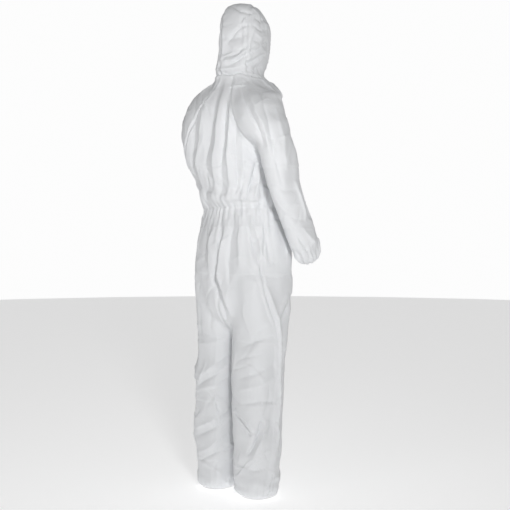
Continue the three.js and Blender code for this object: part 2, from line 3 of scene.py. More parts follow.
import bpy
import numpy as np
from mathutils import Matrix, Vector


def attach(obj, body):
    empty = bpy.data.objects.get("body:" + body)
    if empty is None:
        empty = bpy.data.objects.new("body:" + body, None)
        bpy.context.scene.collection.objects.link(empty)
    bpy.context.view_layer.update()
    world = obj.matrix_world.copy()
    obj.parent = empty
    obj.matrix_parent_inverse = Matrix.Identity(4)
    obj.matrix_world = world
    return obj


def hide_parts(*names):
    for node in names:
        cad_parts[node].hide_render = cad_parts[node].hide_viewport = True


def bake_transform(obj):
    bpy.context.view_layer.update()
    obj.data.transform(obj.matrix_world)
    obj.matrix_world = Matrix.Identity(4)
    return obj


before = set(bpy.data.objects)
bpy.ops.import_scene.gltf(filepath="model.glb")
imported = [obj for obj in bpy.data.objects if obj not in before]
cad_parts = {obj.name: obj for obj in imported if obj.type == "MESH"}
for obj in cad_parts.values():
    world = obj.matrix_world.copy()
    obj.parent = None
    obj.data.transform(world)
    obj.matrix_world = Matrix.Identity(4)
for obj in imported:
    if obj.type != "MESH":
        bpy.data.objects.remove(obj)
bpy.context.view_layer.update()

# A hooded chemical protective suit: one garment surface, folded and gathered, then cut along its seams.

# ---- sizes, in metres
VOXEL = 0.0085
SMOOTHINGS = 8  # they round off the voxels' steps
CLOTH = 0.0006  # thickness of the finished sheet
ZIP_BOTTOM = 0.862
ZIP_HALF = 0.0062
WAIST = 1.047
NECK = 1.531
ARMPIT = 1.205
THIGH_CUT = 0.565
HOOD_TURN = math.radians(16)
FRONT_AT_NECK = 0.092
FRONT_SLOPE = 0.0703
POWER = 2.25
LEG_POWER = 2.6
SEEN = math.radians(221)  # the side the suit is seen from
ACROSS = np.array([math.cos(SEEN), math.sin(SEEN), 0.0])
TOWARDS = np.array([math.sin(SEEN), -math.cos(SEEN), 0.0])

HOOD_SEAM_X = 0.052
NECK_BAND, WAIST_BAND, HEM, FACE_HEM = 0.030, 0.005, 0.020, 1.16
ELBOW_CUT, ELBOW_BEND, CUFF_CUT = 0.30, 0.085, 0.555
ZIP_TOP = 1.504
GUSSET_HALF, GUSSET_REACH = 0.022, 0.075
SLEEVE_LEAN = {"right": (-0.557, -0.049, -0.829), "left": (0.545, -0.65, -0.53)}
STEEP = 0.42  # a fold's steep side, as a share of its slow side
FOLD_GAIN = 1.7
CREASES = 420
rng = np.random.default_rng(7)
GROWTH = 0.028  # of the cloth as it settles
MOST_MOVED = 0.006  # how far the settling may move a point


# ---- small numeric helpers
def rows_at(rows, t):
    """Smooth values at t from rows of (t, value, ...) in thousandths, by Catmull-Rom pieces."""
    rows = np.array(rows) / 1000
    t = np.clip(np.asarray(t, float), rows[0, 0], rows[-1, 0])
    i = np.clip(np.searchsorted(rows[:, 0], t, side="right") - 1, 0, len(rows) - 2)
    last = len(rows) - 1
    a, b, c, d = (rows[np.clip(i + k, 0, last)] for k in (-1, 0, 1, 2))
    span = (c[..., :1] - b[..., :1])
    s = (t[..., None] - b[..., :1]) / span

    def slope(p, q):
        gap = q[..., :1] - p[..., :1]
        return np.where(gap == 0, 0, (q[..., 1:] - p[..., 1:]) / np.where(gap == 0, 1, gap) * span)

    s2, s3 = s * s, s ** 3
    return ((2 * s3 - 3 * s2 + 1) * b[..., 1:] + (s3 - 2 * s2 + s) * slope(a, c)
            + (3 * s2 - 2 * s3) * c[..., 1:] + (s3 - s2) * slope(b, d))


def smoothstep(lo, hi, t):
    s = np.clip((t - lo) / (hi - lo), 0, 1)
    return s * s * (3 - 2 * s)


def power(value, p):
    return np.sign(value) * np.abs(value) ** p


def turned_x(v, angle):
    """v swung to the front by angle, about X."""
    v = np.asarray(v, float)
    c, s = math.cos(angle), math.sin(angle)
    return np.stack([v[..., 0], v[..., 1] * c + v[..., 2] * s, -v[..., 1] * s + v[..., 2] * c], -1)


def turned_z(v, angle):
    c, s = math.cos(angle), math.sin(angle)
    return np.stack([v[..., 0] * c - v[..., 1] * s, v[..., 0] * s + v[..., 1] * c, v[..., 2]], -1)


def lattice(points, cell, seed, octaves=1):
    """Smooth noise from -1 to 1 at points, the same on each run."""
    total, amount, weight = 0, 0, 1.0
    for k in range(octaves):
        grid = np.random.default_rng(seed + k).random((24, 24, 24))
        q = points / cell * (2 ** k) + 7.3
        i = np.floor(q).astype(int)
        f = q - i
        f = f * f * (3 - 2 * f)
        value = 0
        for corner in np.ndindex(2, 2, 2):
            value = value + np.where(corner, f, 1 - f).prod(1) * grid[tuple((i + corner).T % 24)]
        total = total + weight * (2 * value - 1)
        amount += weight
        weight *= 0.5
    return total / amount


# ---- the closed shape of the filled suit
TRUNK = [
    (575, 20, 20), (600, 55, 52), (640, 120, 98), (680, 178, 130), (720, 184, 142), (760, 188, 145), (850, 190, 147),
    (950, 184, 140), (1010, 168, 121), (1047, 158, 106), (1080, 158, 121), (1150, 154, 148), (1215, 154, 165),
    (1250, 158, 170), (1340, 165, 168), (1400, 158, 158), (1440, 140, 143), (1475, 112, 120), (1510, 84, 88),
    (1535, 64, 70), (1560, 50, 55)]
SLACK = [
    (1000, 120), (1080, 156), (1130, 168), (1190, 191), (1228, 204), (1277, 213), (1325, 219), (1380, 216),
    (1420, 204), (1460, 178), (1500, 135)]  # how far it reaches to the left, as seen
# how far the legs and hips reach to the left and to the right, as seen
LEFT_EDGE = [
    (0, 170), (116, 174), (226, 182), (350, 174), (434, 180), (495, 168), (640, 171), (776, 173), (886, 170),
    (950, 160), (1000, 153)]
RIGHT_EDGE = [
    (0, 122), (55, 129), (165, 139), (350, 148), (470, 154), (590, 160), (650, 166), (715, 171), (800, 178),
    (870, 180)]
LEG = [
    (0, 54, 64), (8, 68, 79), (28, 77, 88), (80, 81, 92), (250, 85, 95), (380, 86, 96), (470, 86, 97), (600, 89, 104),
    (660, 90, 116), (730, 88, 132), (800, 84, 132)]
LEG_X = 0.100
SLEEVE = [
    (-20, 66, 82), (150, 57, 78), (220, 48, 74), (270, 45, 72), (400, 43, 67), (490, 42, 64), (535, 41, 59),
    (560, 38, 50), (584, 31, 38)]
SHOULDER = np.array([0.188, 0.062, 1.400])
UPPER_ARM, FOREARM = 0.270, 0.314
UPPER_SPLAY, FORE_SPLAY = math.radians(10), math.radians(2.5)
ARMS = {"right": (-1, math.radians(4), math.radians(21)), "left": (1, math.radians(30), math.radians(20))}
HOOD = dict(y=-0.008, z=1.66, half=0.085, deep=0.100, top=0.138, below=0.32, power=2.9)
HOOD_LEAN = [
    (1500, 19, 870), (1540, 14, 930), (1600, 1, 980), (1660, -5, 1000), (1720, -8, 990), (1770, -3, 980),
    (1800, 4, 980)]  # height, how far to the left as seen, share of the width


def front_at(z):
    return FRONT_AT_NECK + (1.51 - np.maximum(z, ZIP_BOTTOM)) * FRONT_SLOPE


def section(u, v_back, v_front, centre, n=96, p=POWER):
    """One closed cross-section from its half-axis vectors."""
    t = np.arange(n) / n * 2 * math.pi
    c, s = power(np.cos(t), 2 / p), power(np.sin(t), 2 / p)
    side = np.where(s[:, None] > 0, v_back, -np.asarray(v_front, float))
    return np.asarray(centre) + c[:, None] * np.asarray(u) + np.abs(s)[:, None] * side


def loft(rings):
    """Vertices and faces of a closed body through rings of equal counts."""
    n, m = len(rings[0]), len(rings)
    verts = np.concatenate(rings + [[rings[0].mean(0)], [rings[-1].mean(0)]])
    faces = []
    for k in range(m - 1):
        for i in range(n):
            j = (i + 1) % n
            faces.append((k * n + i, k * n + j, (k + 1) * n + j, (k + 1) * n + i))
    for i in range(n):
        j = (i + 1) % n
        faces.append((m * n, j, i))
        faces.append((m * n + 1, (m - 1) * n + i, (m - 1) * n + j))
    return verts, faces


def arm_bones(side):
    sign, swing, bend = ARMS[side]
    shoulder = SHOULDER * (sign, 1, 1)
    upper = turned_x((sign * math.sin(UPPER_SPLAY), 0, -math.cos(UPPER_SPLAY)), swing)
    fore = turned_x((sign * math.sin(FORE_SPLAY), 0, -math.cos(FORE_SPLAY)), swing + bend)
    return shoulder, upper, shoulder + upper * UPPER_ARM, fore


def arm_body(side):
    sign, swing, bend = ARMS[side]
    shoulder, upper, elbow, fore = arm_bones(side)
    rings = []
    # from inside the chest, over the shoulder, into the sleeve
    path = [(0.03, 0.02, 1.385, 0.0, 0.112, 0.112), (0.085, 0.036, 1.378, 4, 0.106, 0.116),
            (0.135, 0.050, 1.365, 18, 0.094, 0.112), (0.172, 0.058, 1.345, 38, 0.081, 0.103),
            (0.196, 0.061, 1.315, 60, 0.070, 0.094)]
    slim = 0.86 if side == "left" else 1.0
    for x, y, z, fall, tall, deep in path:
        deep *= slim
        a = math.radians(fall)
        up = np.array([sign * math.sin(a), 0, math.cos(a)]) * tall
        ahead = np.array([0, 1, 0]) * deep
        lean = float(swing * smoothstep(20, 90, fall))
        ahead = turned_x(ahead, lean)
        rings.append(section(turned_x(up, lean), ahead, ahead, (sign * x, y, z)))
    for down in np.linspace(0.115, UPPER_ARM + FOREARM, 40):
        hx, hy = rows_at(SLEEVE, np.array(down))
        share = float(smoothstep(UPPER_ARM - 0.06, UPPER_ARM + 0.06, down))
        lean = swing + bend * share
        centre = shoulder + upper * down if down < UPPER_ARM else elbow + fore * (down - UPPER_ARM)
        u = turned_x((sign * hx, 0, 0), lean)
        v = turned_x((0, hy, 0), lean)
        rings.append(section(u, v, v, centre))
    return loft(rings)


def trunk_body():
    rings = []
    for z in np.linspace(0.575, 1.56, 110):
        half, back = rows_at(TRUNK, np.array(z))
        front = float(front_at(z)) - 0.034 * float(smoothstep(0.86, 0.70, z))
        if z < 0.70 or z > 1.507:
            front = min(front, back * 1.1)
        rings.append(section((half, 0, 0), (0, back, 0), (0, front, 0), (0, 0, z)))
    return loft(rings)


def slack_body():
    """The slack cloth behind the left armpit, where the arm pulls it forward."""
    rings = []
    for z in np.linspace(1.00, 1.50, 50):
        outline = rows_at(SLACK, np.array(z))[0] - 0.087
        rings.append(section((outline * 0.94, 0, 0), (0, outline * 1.08, 0), (0, outline * 0.9, 0), (0.085, 0.035, z)))
    return loft(rings)


def leg_body(sign):
    rings = []
    for z in np.concatenate([[0, 0.004, 0.009, 0.016], np.linspace(0.028, 0.80, 70)]):
        hx, hy = rows_at(LEG, np.array(z))
        y = 0.026 * (1 - float(smoothstep(0.47, 0.70, z)))
        rings.append(section((hx, 0, 0), (0, hy, 0), (0, hy, 0), (sign * LEG_X - 0.003, y, z), p=LEG_POWER))
    return loft(rings)


def hood_body():
    rings = []
    h = HOOD
    for s in np.linspace(-0.5, 0.998, 60):
        z = h["z"] + (h["top"] if s > 0 else h["below"]) * s
        scale = (1 - abs(s) ** h["power"]) ** (1 / h["power"])
        deep = (0, h["deep"] * scale, 0)
        ring = section((h["half"] * scale, 0, 0), deep, deep, (0, h["y"], z), p=h["power"])
        # the crown falls towards the face
        ring[:, 2] -= 0.20 * np.clip(0.03 - ring[:, 1], 0, 1) * max(0, (z - h["z"]) / h["top"])
        lean, share = rows_at(HOOD_LEAN, np.array(z))
        rings.append(turned_z(ring * (share, share, 1), HOOD_TURN) - ACROSS * lean)
    return loft(rings)


def join(parts):
    verts, faces, base = [], [], 0
    for v, f in parts:
        verts.append(v)
        faces += [tuple(i + base for i in face) for face in f]
        base += len(v)
    return np.concatenate(verts), faces


def make_mesh(name, verts, faces):
    mesh = bpy.data.meshes.new(name)
    mesh.from_pydata([tuple(v) for v in verts], [], [tuple(int(i) for i in f) for f in faces])
    mesh.update()
    return mesh


def applied(obj):
    """obj gets its mesh with the modifiers applied."""
    graph = bpy.context.evaluated_depsgraph_get()
    mesh = bpy.data.meshes.new_from_object(obj.evaluated_get(graph))
    obj.modifiers.clear()
    obj.data = mesh


def put(name, mesh):
    obj = bpy.data.objects.new(name, mesh)
    bpy.context.scene.collection.objects.link(obj)
    return obj


def coordinates(mesh):
    co = np.empty(len(mesh.vertices) * 3)
    mesh.vertices.foreach_get("co", co)
    return co.reshape(-1, 3)


def edge_array(mesh):
    e = np.empty(len(mesh.edges) * 2, np.int64)
    mesh.edges.foreach_get("vertices", e)
    return e.reshape(-1, 2)


def relax(V, E, times, amount=0.5, weight=None):
    """Laplacian smoothing over edges E."""
    n = len(V)
    count = np.bincount(E.ravel(), minlength=n).astype(float)[:, None]
    w = amount if weight is None else amount * weight[:, None]
    for _ in range(times):
        total = np.stack([np.bincount(E[:, 0], V[E[:, 1], k], n) + np.bincount(E[:, 1], V[E[:, 0], k], n)
                          for k in range(3)], 1)
        V = V + w * (total / count - V)
    return V


shape = put("shape", make_mesh("shape", *join([trunk_body(), slack_body(), leg_body(1), leg_body(-1), arm_body("right"),
                                               arm_body("left"), hood_body()])))
remesh = shape.modifiers.new("remesh", "REMESH")
remesh.mode = "VOXEL"
remesh.voxel_size = VOXEL
applied(shape)
base = coordinates(shape.data)
edges = edge_array(shape.data)
base = relax(base, edges, SMOOTHINGS)
shape.data.vertices.foreach_set("co", base.ravel())
shape.data.update()


# ---- where a point of the filled suit belongs
def trunk_radius(P):
    """1 on the trunk's own surface, more outside it."""
    half, back = rows_at(TRUNK, P[:, 2]).T
    deep = np.where(P[:, 1] > 0, back, front_at(P[:, 2]))
    return ((np.abs(P[:, 0]) / half) ** POWER + (np.abs(P[:, 1]) / deep) ** POWER) ** (1 / POWER)


def along_arm(P, side):
    """Distance down the arm from the shoulder, and distance from its bones as a share of the sleeve's size."""
    shoulder, upper, elbow, fore = arm_bones(side)
    past = (P - elbow) @ fore
    down = np.where(past > 0, UPPER_ARM + past, np.minimum((P - shoulder) @ upper, UPPER_ARM))
    centre = np.where((past > 0)[:, None], elbow + past[:, None] * fore, shoulder + down[:, None] * upper)
    hx, hy = rows_at(SLEEVE, down).T
    off = P - centre
    return down, np.sqrt((off[:, 0] / hx) ** 2 + (np.hypot(off[:, 1], off[:, 2]) / hy) ** 2)


RAGLAN = [
    (1160, 160), (1205, 156), (1240, 149), (1300, 124), (1370, 88), (1440, 54), (1510, 30), (1560, 24)]


def sleeve_side(P, side):
    """Above 0 on the sleeve, below 0 on the trunk, 0 along the raglan seam."""
    sign = ARMS[side][0]
    above = sign * P[:, 0] - rows_at(RAGLAN, P[:, 2])[:, 0]
    down, off = along_arm(P, side)
    below = np.where((sign * P[:, 0] > 0.1) & (down < UPPER_ARM + FOREARM + 0.03), 0.1 * (trunk_radius(P) - off), -0.1)
    return np.where(P[:, 2] > ARMPIT - 0.012, above, below)


def neck_side(P):
    return P[:, 2] - (NECK + 0.12 * (P[:, 1] - 0.09) + 0.004 * np.sin(9 * P[:, 0] / 0.088))


def waist_side(P):
    dip = 0.024 * smoothstep(0.08, 0.16, P[:, 0])
    return P[:, 2] - (WAIST - dip)


def side_seam(P):
    """Above 0 on the back of the trunk."""
    return P[:, 1] - rows_at([(900, 55), (1050, 50), (1205, 45), (1560, 30)], P[:, 2])[:, 0]


def leg_seam(P):
    """Above 0 behind a leg's side seams."""
    z = P[:, 2]
    outer = rows_at([(0, 60), (150, 45), (350, 32), (600, 35), (780, 85), (1050, 50)], z)[:, 0]
    inner = rows_at([(0, 30), (500, 26), (700, 4), (1050, 0)], z)[:, 0]
    outside = smoothstep(0.06, 0.14, np.abs(P[:, 0]))
    return P[:, 1] - (inner + (outer - inner) * outside)


def face_radius(P):
    """1 on the edge of the face opening."""
    q = turned_z(P, -HOOD_TURN)
    r = np.sqrt((q[:, 0] / 0.060) ** 2 + ((q[:, 2] - 1.640) / 0.083) ** 2)
    return np.where(q[:, 1] < -0.03, r, 9.0)


def regions(P):
    """Which vertices are on the hood, the trunk with the legs, and the two sleeves."""
    global RIGHT, LEFT, ABOVE_NECK, ON_TRUNK, PARTS
    RIGHT, LEFT = sleeve_side(P, "right"), sleeve_side(P, "left")
    ABOVE_NECK = neck_side(P) > 0
    ON_TRUNK = ~((RIGHT > 0) | (LEFT > 0)) & ~ABOVE_NECK
    PARTS = {"hood": ABOVE_NECK | (np.abs(neck_side(P)) < 0.012), "trunk": ON_TRUNK,
             "sleeve": (RIGHT > 0) & ~ABOVE_NECK}


# how far the right shoulder's outline, as seen, stands out from its round form
SHOULDER_LINE = [
    (1200, 0), (1256, -7), (1300, -17), (1365, -21), (1395, -18), (1431, 2), (1453, 22), (1475, 30), (1497, 22),
    (1520, 0)]
seen_across = base @ ACROSS
square = (rows_at(SHOULDER_LINE, base[:, 2])[:, 0] * smoothstep(0.04, 0.10, seen_across)
          * smoothstep(0.02, -0.04, base[:, 0]))
base += ACROSS * square[:, None]
seen_across = base @ ACROSS
beyond = np.maximum(0, -seen_across - rows_at(SLACK, base[:, 2])[:, 0] - 0.004)
pulled = (base[:, 2] > 1.15) & (base[:, 2] < 1.5) & (base[:, 1] > -0.04)
base += ACROSS * (0.85 * beyond * pulled * smoothstep(-0.04, 0.0, base[:, 1]))[:, None]
regions(base)
for sign, edge, top in ((-1, LEFT_EDGE, 1.0), (1, RIGHT_EDGE, 0.87)):
    beyond = np.maximum(0, sign * seen_across - rows_at(edge, base[:, 2])[:, 0]) * (ON_TRUNK & (base[:, 2] < top))
    base -= ACROSS * (sign * 0.85 * beyond)[:, None]
base = relax(base, edges, 3, 0.5)
regions(base)

# ---- folds that stand out, on the side that is seen
# in mm: width, how far out, then the points, each as across the suit as seen and height
FOLDS = {
    "hood": [
        (7, -7, -105, 1538, -41, 1526, 40, 1540), (9, 5, -105, 1552, -41, 1543, 30, 1556),
        (9, -6, -60, 1552, 4, 1589, 90, 1640), (10, 4, -50, 1566, 0, 1603, 80, 1655),
        (9, -6, -20, 1543, 45, 1574, 86, 1606), (8, 4, -10, 1556, 40, 1588, 86, 1622),
        (8, -4, -62, 1640, -10, 1690, 22, 1700), (7, -3.2, 30, 1700, 62, 1684, 96, 1700),
        (7, 2.5, 36, 1676, 64, 1660, 98, 1676), (7, -3, 30, 1650, 62, 1640, 96, 1654),
        (7, -3, 40, 1726, 66, 1718, 90, 1734), (8, -4, -40, 1780, -8, 1752, 30, 1742),
        (8, -5, -70, 1590, -20, 1598, 20, 1630), (8, 4, -80, 1575, -30, 1580, 16, 1606), (9, -5, 22, 1532, 70, 1562),
        (12, -3, -90, 1600, -40, 1612, 12, 1606), (12, -3, -86, 1664, -30, 1655, 26, 1668),
        (10, 4, -78, 1700, -72, 1640, -84, 1570), (12, -3, 0, 1735, -12, 1690, -4, 1640)],
    "trunk": [
        (16, -6, -78, 1512, -110, 1390, -134, 1206, -130, 1055),
        (14, 5, -62, 1512, -92, 1380, -108, 1206, -100, 1060), (14, -7, -46, 1510, -64, 1390, -82, 1180, -74, 1060),
        (13, 6, -30, 1512, -44, 1400, -56, 1240, -48, 1080), (14, -6, -22, 1440, -28, 1330, -20, 1190, -26, 1060),
        (13, 4, 0, 1300, 4, 1180, 0, 1070), (18, -5, -135, 1500, -180, 1380, -186, 1200, -158, 1060),
        (16, 5, -110, 1505, -150, 1390, -164, 1220, -146, 1060), (10, -9, 52, 1215, 34, 1140, 8, 1062),
        (12, 7, 66, 1205, 56, 1130, 36, 1066), (12, -5, 10, 1215, 4, 1150, -12, 1085),
        (10, 9, -59, 1010, -84, 900, -92, 810, -70, 740, -46, 670),
        (13, -10, -78, 990, -104, 890, -110, 800, -88, 725, -52, 640),
        (13, -5, -34, 1020, -48, 930, -56, 850, -46, 760), (13, 4, -12, 1024, -18, 930, -12, 840),
        (13, -5, 10, 1026, 32, 930, 68, 820, 80, 780), (12, 4, 30, 1026, 52, 940, 84, 850),
        (13, -4, 62, 1024, 84, 950, 98, 850), (14, -4, -120, 1010, -142, 930, -150, 830),
        (12, 4, -100, 1010, -126, 920, -130, 820), (11, 12, 89, 772, 122, 650, 126, 594, 122, 297, 108, 149, 93, 20),
        (14, -6, 140, 640, 148, 500, 142, 300, 128, 150), (9, -9, 178, 740, 152, 680, 128, 630),
        (10, 5, 160, 745, 136, 690, 114, 640), (7, -1.4, 78, 806, 124, 800, 172, 812),
        (10, -10, -36, 312, -4, 278, 28, 238), (11, 6, -26, 330, 10, 300, 44, 262),
        (10, -9, 72, 300, 46, 232, 16, 166), (11, 5, 88, 300, 64, 230, 36, 164), (14, -4, 0, 560, 60, 580, 110, 600),
        (16, -3, -10, 440, 50, 466, 118, 500), (14, 3, -10, 400, 50, 420, 120, 446),
        (12, -4, 0, 350, 60, 366, 122, 360), (14, -4, -20, 130, 40, 110, 100, 124),
        (15, 4, -168, 424, -104, 475, -42, 522), (13, -4.2, -172, 392, -110, 436, -44, 482),
        (12, 3, -180, 372, -110, 400, -44, 440), (14, 4, -182, 226, -115, 270, -48, 318),
        (13, -4, -182, 200, -112, 238, -48, 282), (13, 3, -180, 126, -110, 180, -46, 240),
        (12, -3, -170, 100, -110, 146, -50, 190), (15, -4, -172, 600, -120, 580, -60, 570)],
    "sleeve": [
        (12, 7, 118, 1500, 152, 1430, 180, 1345), (11, -7, 136, 1492, 172, 1420, 196, 1350),
        (14, -6, -10, 1490, 10, 1420, 52, 1330, 74, 1250), (14, 5, 12, 1494, 34, 1420, 74, 1330, 94, 1230),
        (16, -4, 62, 1460, 92, 1350, 112, 1220, 140, 1110), (16, 4, 118, 1400, 140, 1280, 156, 1180),
        (11, -9, 206, 1160, 226, 1080, 246, 1010), (10, 5, 190, 1150, 210, 1070, 230, 1000),
        (13, -3, 92, 1130, 150, 1106, 220, 1120), (13, 2.2, 110, 1085, 170, 1062, 232, 1067),
        (12, -2.4, 130, 1030, 190, 1006, 246, 1010), (10, -4, 190, 960, 226, 900, 240, 870),
        (10, 4, 216, 980, 256, 920, 270, 880)],
}
PACKING_CREASES = (1.195, 0.975, 0.815, 0.575, 0.345, 0.120)  # heights where the suit lay folded in its bag


def to_line(points, line):
    """Distance from points to a broken line, below 0 on its right, and the place along it from 0 to 1."""
    best = np.full(len(points), 9.0)
    place = np.zeros(len(points))
    hand = np.ones(len(points))
    line = np.array(line)
    lengths = np.linalg.norm(np.diff(line, axis=0), axis=1)
    total, done = lengths.sum(), 0.0
    for a, b, size in zip(line[:-1], line[1:], lengths):
        t = np.clip((points - a) @ (b - a) / size ** 2, 0, 1)
        d = np.linalg.norm(points - (a + t[:, None] * (b - a)), axis=1)
        closer = d < best
        turn = (b - a)[0] * (points - a)[:, 1] - (b - a)[1] * (points - a)[:, 0]
        hand = np.where(closer, np.sign(turn), hand)
        best = np.where(closer, d, best)
        place = np.where(closer, (done + t * size) / total, place)
        done += size
    return best * hand, place


def crest(d, width):
    """A fold's profile: one side falls slowly and the other steeply."""
    return np.exp(-np.where(d > 0, d / width, -d / (STEEP * width)) ** 1.1)


def normals_of(V, T):
    fn = np.cross(V[T[:, 1]] - V[T[:, 0]], V[T[:, 2]] - V[T[:, 0]])
    N = np.zeros_like(V)
    for k in range(3):
        for c in range(3):
            N[:, c] += np.bincount(T[:, k], fn[:, c], len(V))
    return N / np.maximum(np.linalg.norm(N, axis=1), 1e-12)[:, None]


def triangles(mesh):
    mesh.calc_loop_triangles()
    t = np.empty(len(mesh.loop_triangles) * 3, np.int64)
    mesh.loop_triangles.foreach_get("vertices", t)
    return t.reshape(-1, 3)


def fold_height(P, N):
    flat = np.stack([P @ ACROSS, P[:, 2]], 1)
    wander = 0.004 * np.stack([lattice(P, 0.05, 31), lattice(P, 0.05, 32)], 1)
    seen = smoothstep(-0.25, 0.2, N @ TOWARDS)
    lift = np.zeros(len(P))
    for part, (width, out, *points) in ((part, fold) for part in FOLDS for fold in FOLDS[part]):
        line, width, out = np.array(points).reshape(-1, 2) / 1000, width / 1000, out / 1000
        near = (flat > line.min(0) - 3 * width) & (flat < line.max(0) + 3 * width)
        ids = np.flatnonzero(PARTS[part] & near.all(1))
        d, place = to_line(flat[ids] + wander[ids], line)
        taper = np.clip(4 * place * (1 - place), 0, 1) ** 0.6
        lift[ids] += FOLD_GAIN * out * crest(d, width) * taper * seen[ids]
    return lift


def gathers(P):
    """Ripples that run away from an elastic edge, widest at the edge."""
    lift = np.zeros(len(P))
    wave = lambda angle, count, seed: (np.sin(count * angle + 2.2 * lattice(P, 0.09, seed)) * 0.6
                                       + np.sin(count * 1.63 * angle + 3 * lattice(P, 0.05, seed + 1)) * 0.4)
    # waist
    dz = waist_side(P)
    angle = np.arctan2(P[:, 1], P[:, 0])
    reach = np.exp(-np.abs(dz) / np.where(dz > 0, 0.045, 0.06))
    lift += np.where(ON_TRUNK, 0.0042 * reach * wave(angle, 34, 51), 0)
    lift -= np.where(ON_TRUNK, 0.004 * np.exp(-(dz / 0.008) ** 2), 0)
    lift += np.where(ON_TRUNK, 0.009 * np.exp(-((dz - 0.035) / 0.028) ** 2) * (0.7 + 0.5 * lattice(P, 0.12, 53)), 0)
    # hems
    low = P[:, 2] < 0.2
    around = np.arctan2(P[:, 1] - 0.026, np.abs(P[:, 0]) - LEG_X)
    lift += np.where(low, 0.003 * np.exp(-np.abs(P[:, 2] - 0.012) / 0.022) * wave(around, 30, 55), 0)
    # face
    q = turned_z(P, -HOOD_TURN)
    r = face_radius(P)
    turn = np.arctan2(q[:, 2] - 1.640, q[:, 0])
    lift += np.where(ABOVE_NECK & (r < 3), 0.0035 * np.exp(-np.abs(r - 1.05) / 0.28) * wave(turn, 30, 57), 0)
    # cuffs
    for side, (sign, swing, bend) in ARMS.items():
        shoulder, upper, elbow, fore = arm_bones(side)
        down, off = along_arm(P, side)
        rel = turned_x(P - elbow, -(swing + bend))
        turn = np.arctan2(rel[:, 1], rel[:, 0] - sign * (down - UPPER_ARM) * math.sin(FORE_SPLAY))
        on = (RIGHT > 0) if side == "right" else (LEFT > 0)
        lift += np.where(on & (down > 0.45), 0.0062 * np.exp(-np.abs(down - 0.560) / 0.028) * wave(turn, 11, 59), 0)
    return lift


def soft_dents(P):
    drape = lattice(P * (1, 1, 0.35), 0.055, 23, 2) * 0.0040 * smoothstep(0.0, 0.5, 1 - np.abs(P[:, 2] - 1.2) / 0.9)
    return (lattice(P, 0.16, 11, 2) * 0.0045 + drape) * np.where(ABOVE_NECK, 0.45, 1.0)


def crumple(P):
    """Small wrinkles everywhere, with the faint lines where the suit lay folded."""
    lift = np.zeros(len(P))
    for cell, seed, height in ((0.13, 17, 0.0055), (0.060, 91, 0.0022)):
        turned = turned_z(turned_x(P, 0.7 * seed), 0.4 * seed)
        lift += (0.35 - np.abs(lattice(turned, cell, seed))) * height
    lift *= np.where(ABOVE_NECK, 0.6, 1.0)
    for k, z in enumerate(PACKING_CREASES):
        d = P[:, 2] - z - 0.004 * lattice(P, 0.2, 71 + k)
        lift += 0.0016 * np.exp(-np.abs(d) / 0.0035) * np.where(d > 0, 1, -0.6)
    lift += 0.0014 * np.exp(-np.abs(P[:, 0] - 0.04) / 0.0035) * (P[:, 1] > 0) * ON_TRUNK
    return lift


def creases(P, N):
    """Many short sharp creases, mostly upright above the knees."""
    lift = np.zeros(len(P))
    for i in rng.integers(0, len(P), CREASES):
        length, height = rng.uniform(0.05, 0.17), rng.choice([-1, 1]) * rng.uniform(0.0016, 0.0042)
        width = rng.uniform(0.005, 0.010)
        way = rng.normal(size=3) * (0.5, 0.5, 1.0 if P[i, 2] > 0.6 else 0.5)
        way -= N[i] * (way @ N[i])
        way /= np.linalg.norm(way)
        near = np.flatnonzero((np.abs(P - P[i]).max(1) < length / 2 + 3 * width) & (N @ N[i] > 0.2))
        off = P[near] - P[i]
        t = np.clip(off @ way, -length / 2, length / 2)
        bow = 0.06 * length * np.sin(t / length * 5 + i)
        beside = off @ np.cross(N[i], way) - bow
        beyond = np.abs(off @ way) - np.abs(t)
        d = np.hypot(beside, beyond) * np.where(beside > 0, 1, -1)
        lift[near] += height * crest(d, width) * (1 - (2 * t / length) ** 2)
    return lift


T0 = triangles(shape.data)
N0 = normals_of(base, T0)
# ---- the cloth settles
def settle(obj, held, frames=14):
    """The sheet grows a little inside its elastic edges, so that it buckles as cloth does."""
    group = obj.vertex_groups.new(name="held")
    levels = np.round(held * 20).astype(int)
    for level in np.unique(levels):
        group.add([int(i) for i in np.flatnonzero(levels == level)], float(level) / 20, "REPLACE")
    cloth = obj.modifiers.new("cloth", "CLOTH")
    c = cloth.settings
    c.quality = 4
    c.mass = 0.12
    c.tension_stiffness = c.compression_stiffness = 18
    c.shear_stiffness = 6
    c.bending_stiffness = 1.2
    c.tension_damping = c.compression_damping = c.shear_damping = 8
    c.bending_damping = 1.5
    c.air_damping = 3
    c.vertex_group_mass = "held"
    c.pin_stiffness = 1.0
    c.shrink_min = -GROWTH
    c.effector_weights.gravity = 0.25
    cloth.collision_settings.use_collision = False
    cloth.collision_settings.use_self_collision = False
    cloth.point_cache.frame_start = 1
    cloth.point_cache.frame_end = frames
    scene = bpy.context.scene
    for k in range(1, frames + 1):
        scene.frame_set(k)
    applied(obj)
    obj.vertex_groups.clear()
    scene.frame_set(1)


def held_at(P):
    """0 where the cloth is free, 1 where elastic, the neck or the zip holds it."""
    held = np.full(len(P), 0.10)
    for t in (np.exp(-(waist_side(P) / 0.02) ** 2) * ON_TRUNK, smoothstep(0.06, 0.02, P[:, 2]),
              np.exp(-(neck_side(P) / 0.02) ** 2), smoothstep(1.5, 1.15, face_radius(P)),
              smoothstep(0.53, 0.56, along_arm(P, "right")[0]) * (RIGHT > 0),
              smoothstep(0.53, 0.56, along_arm(P, "left")[0]) * (LEFT > 0), 1 - quiet(P)):
        held = np.maximum(held, t)
    return held


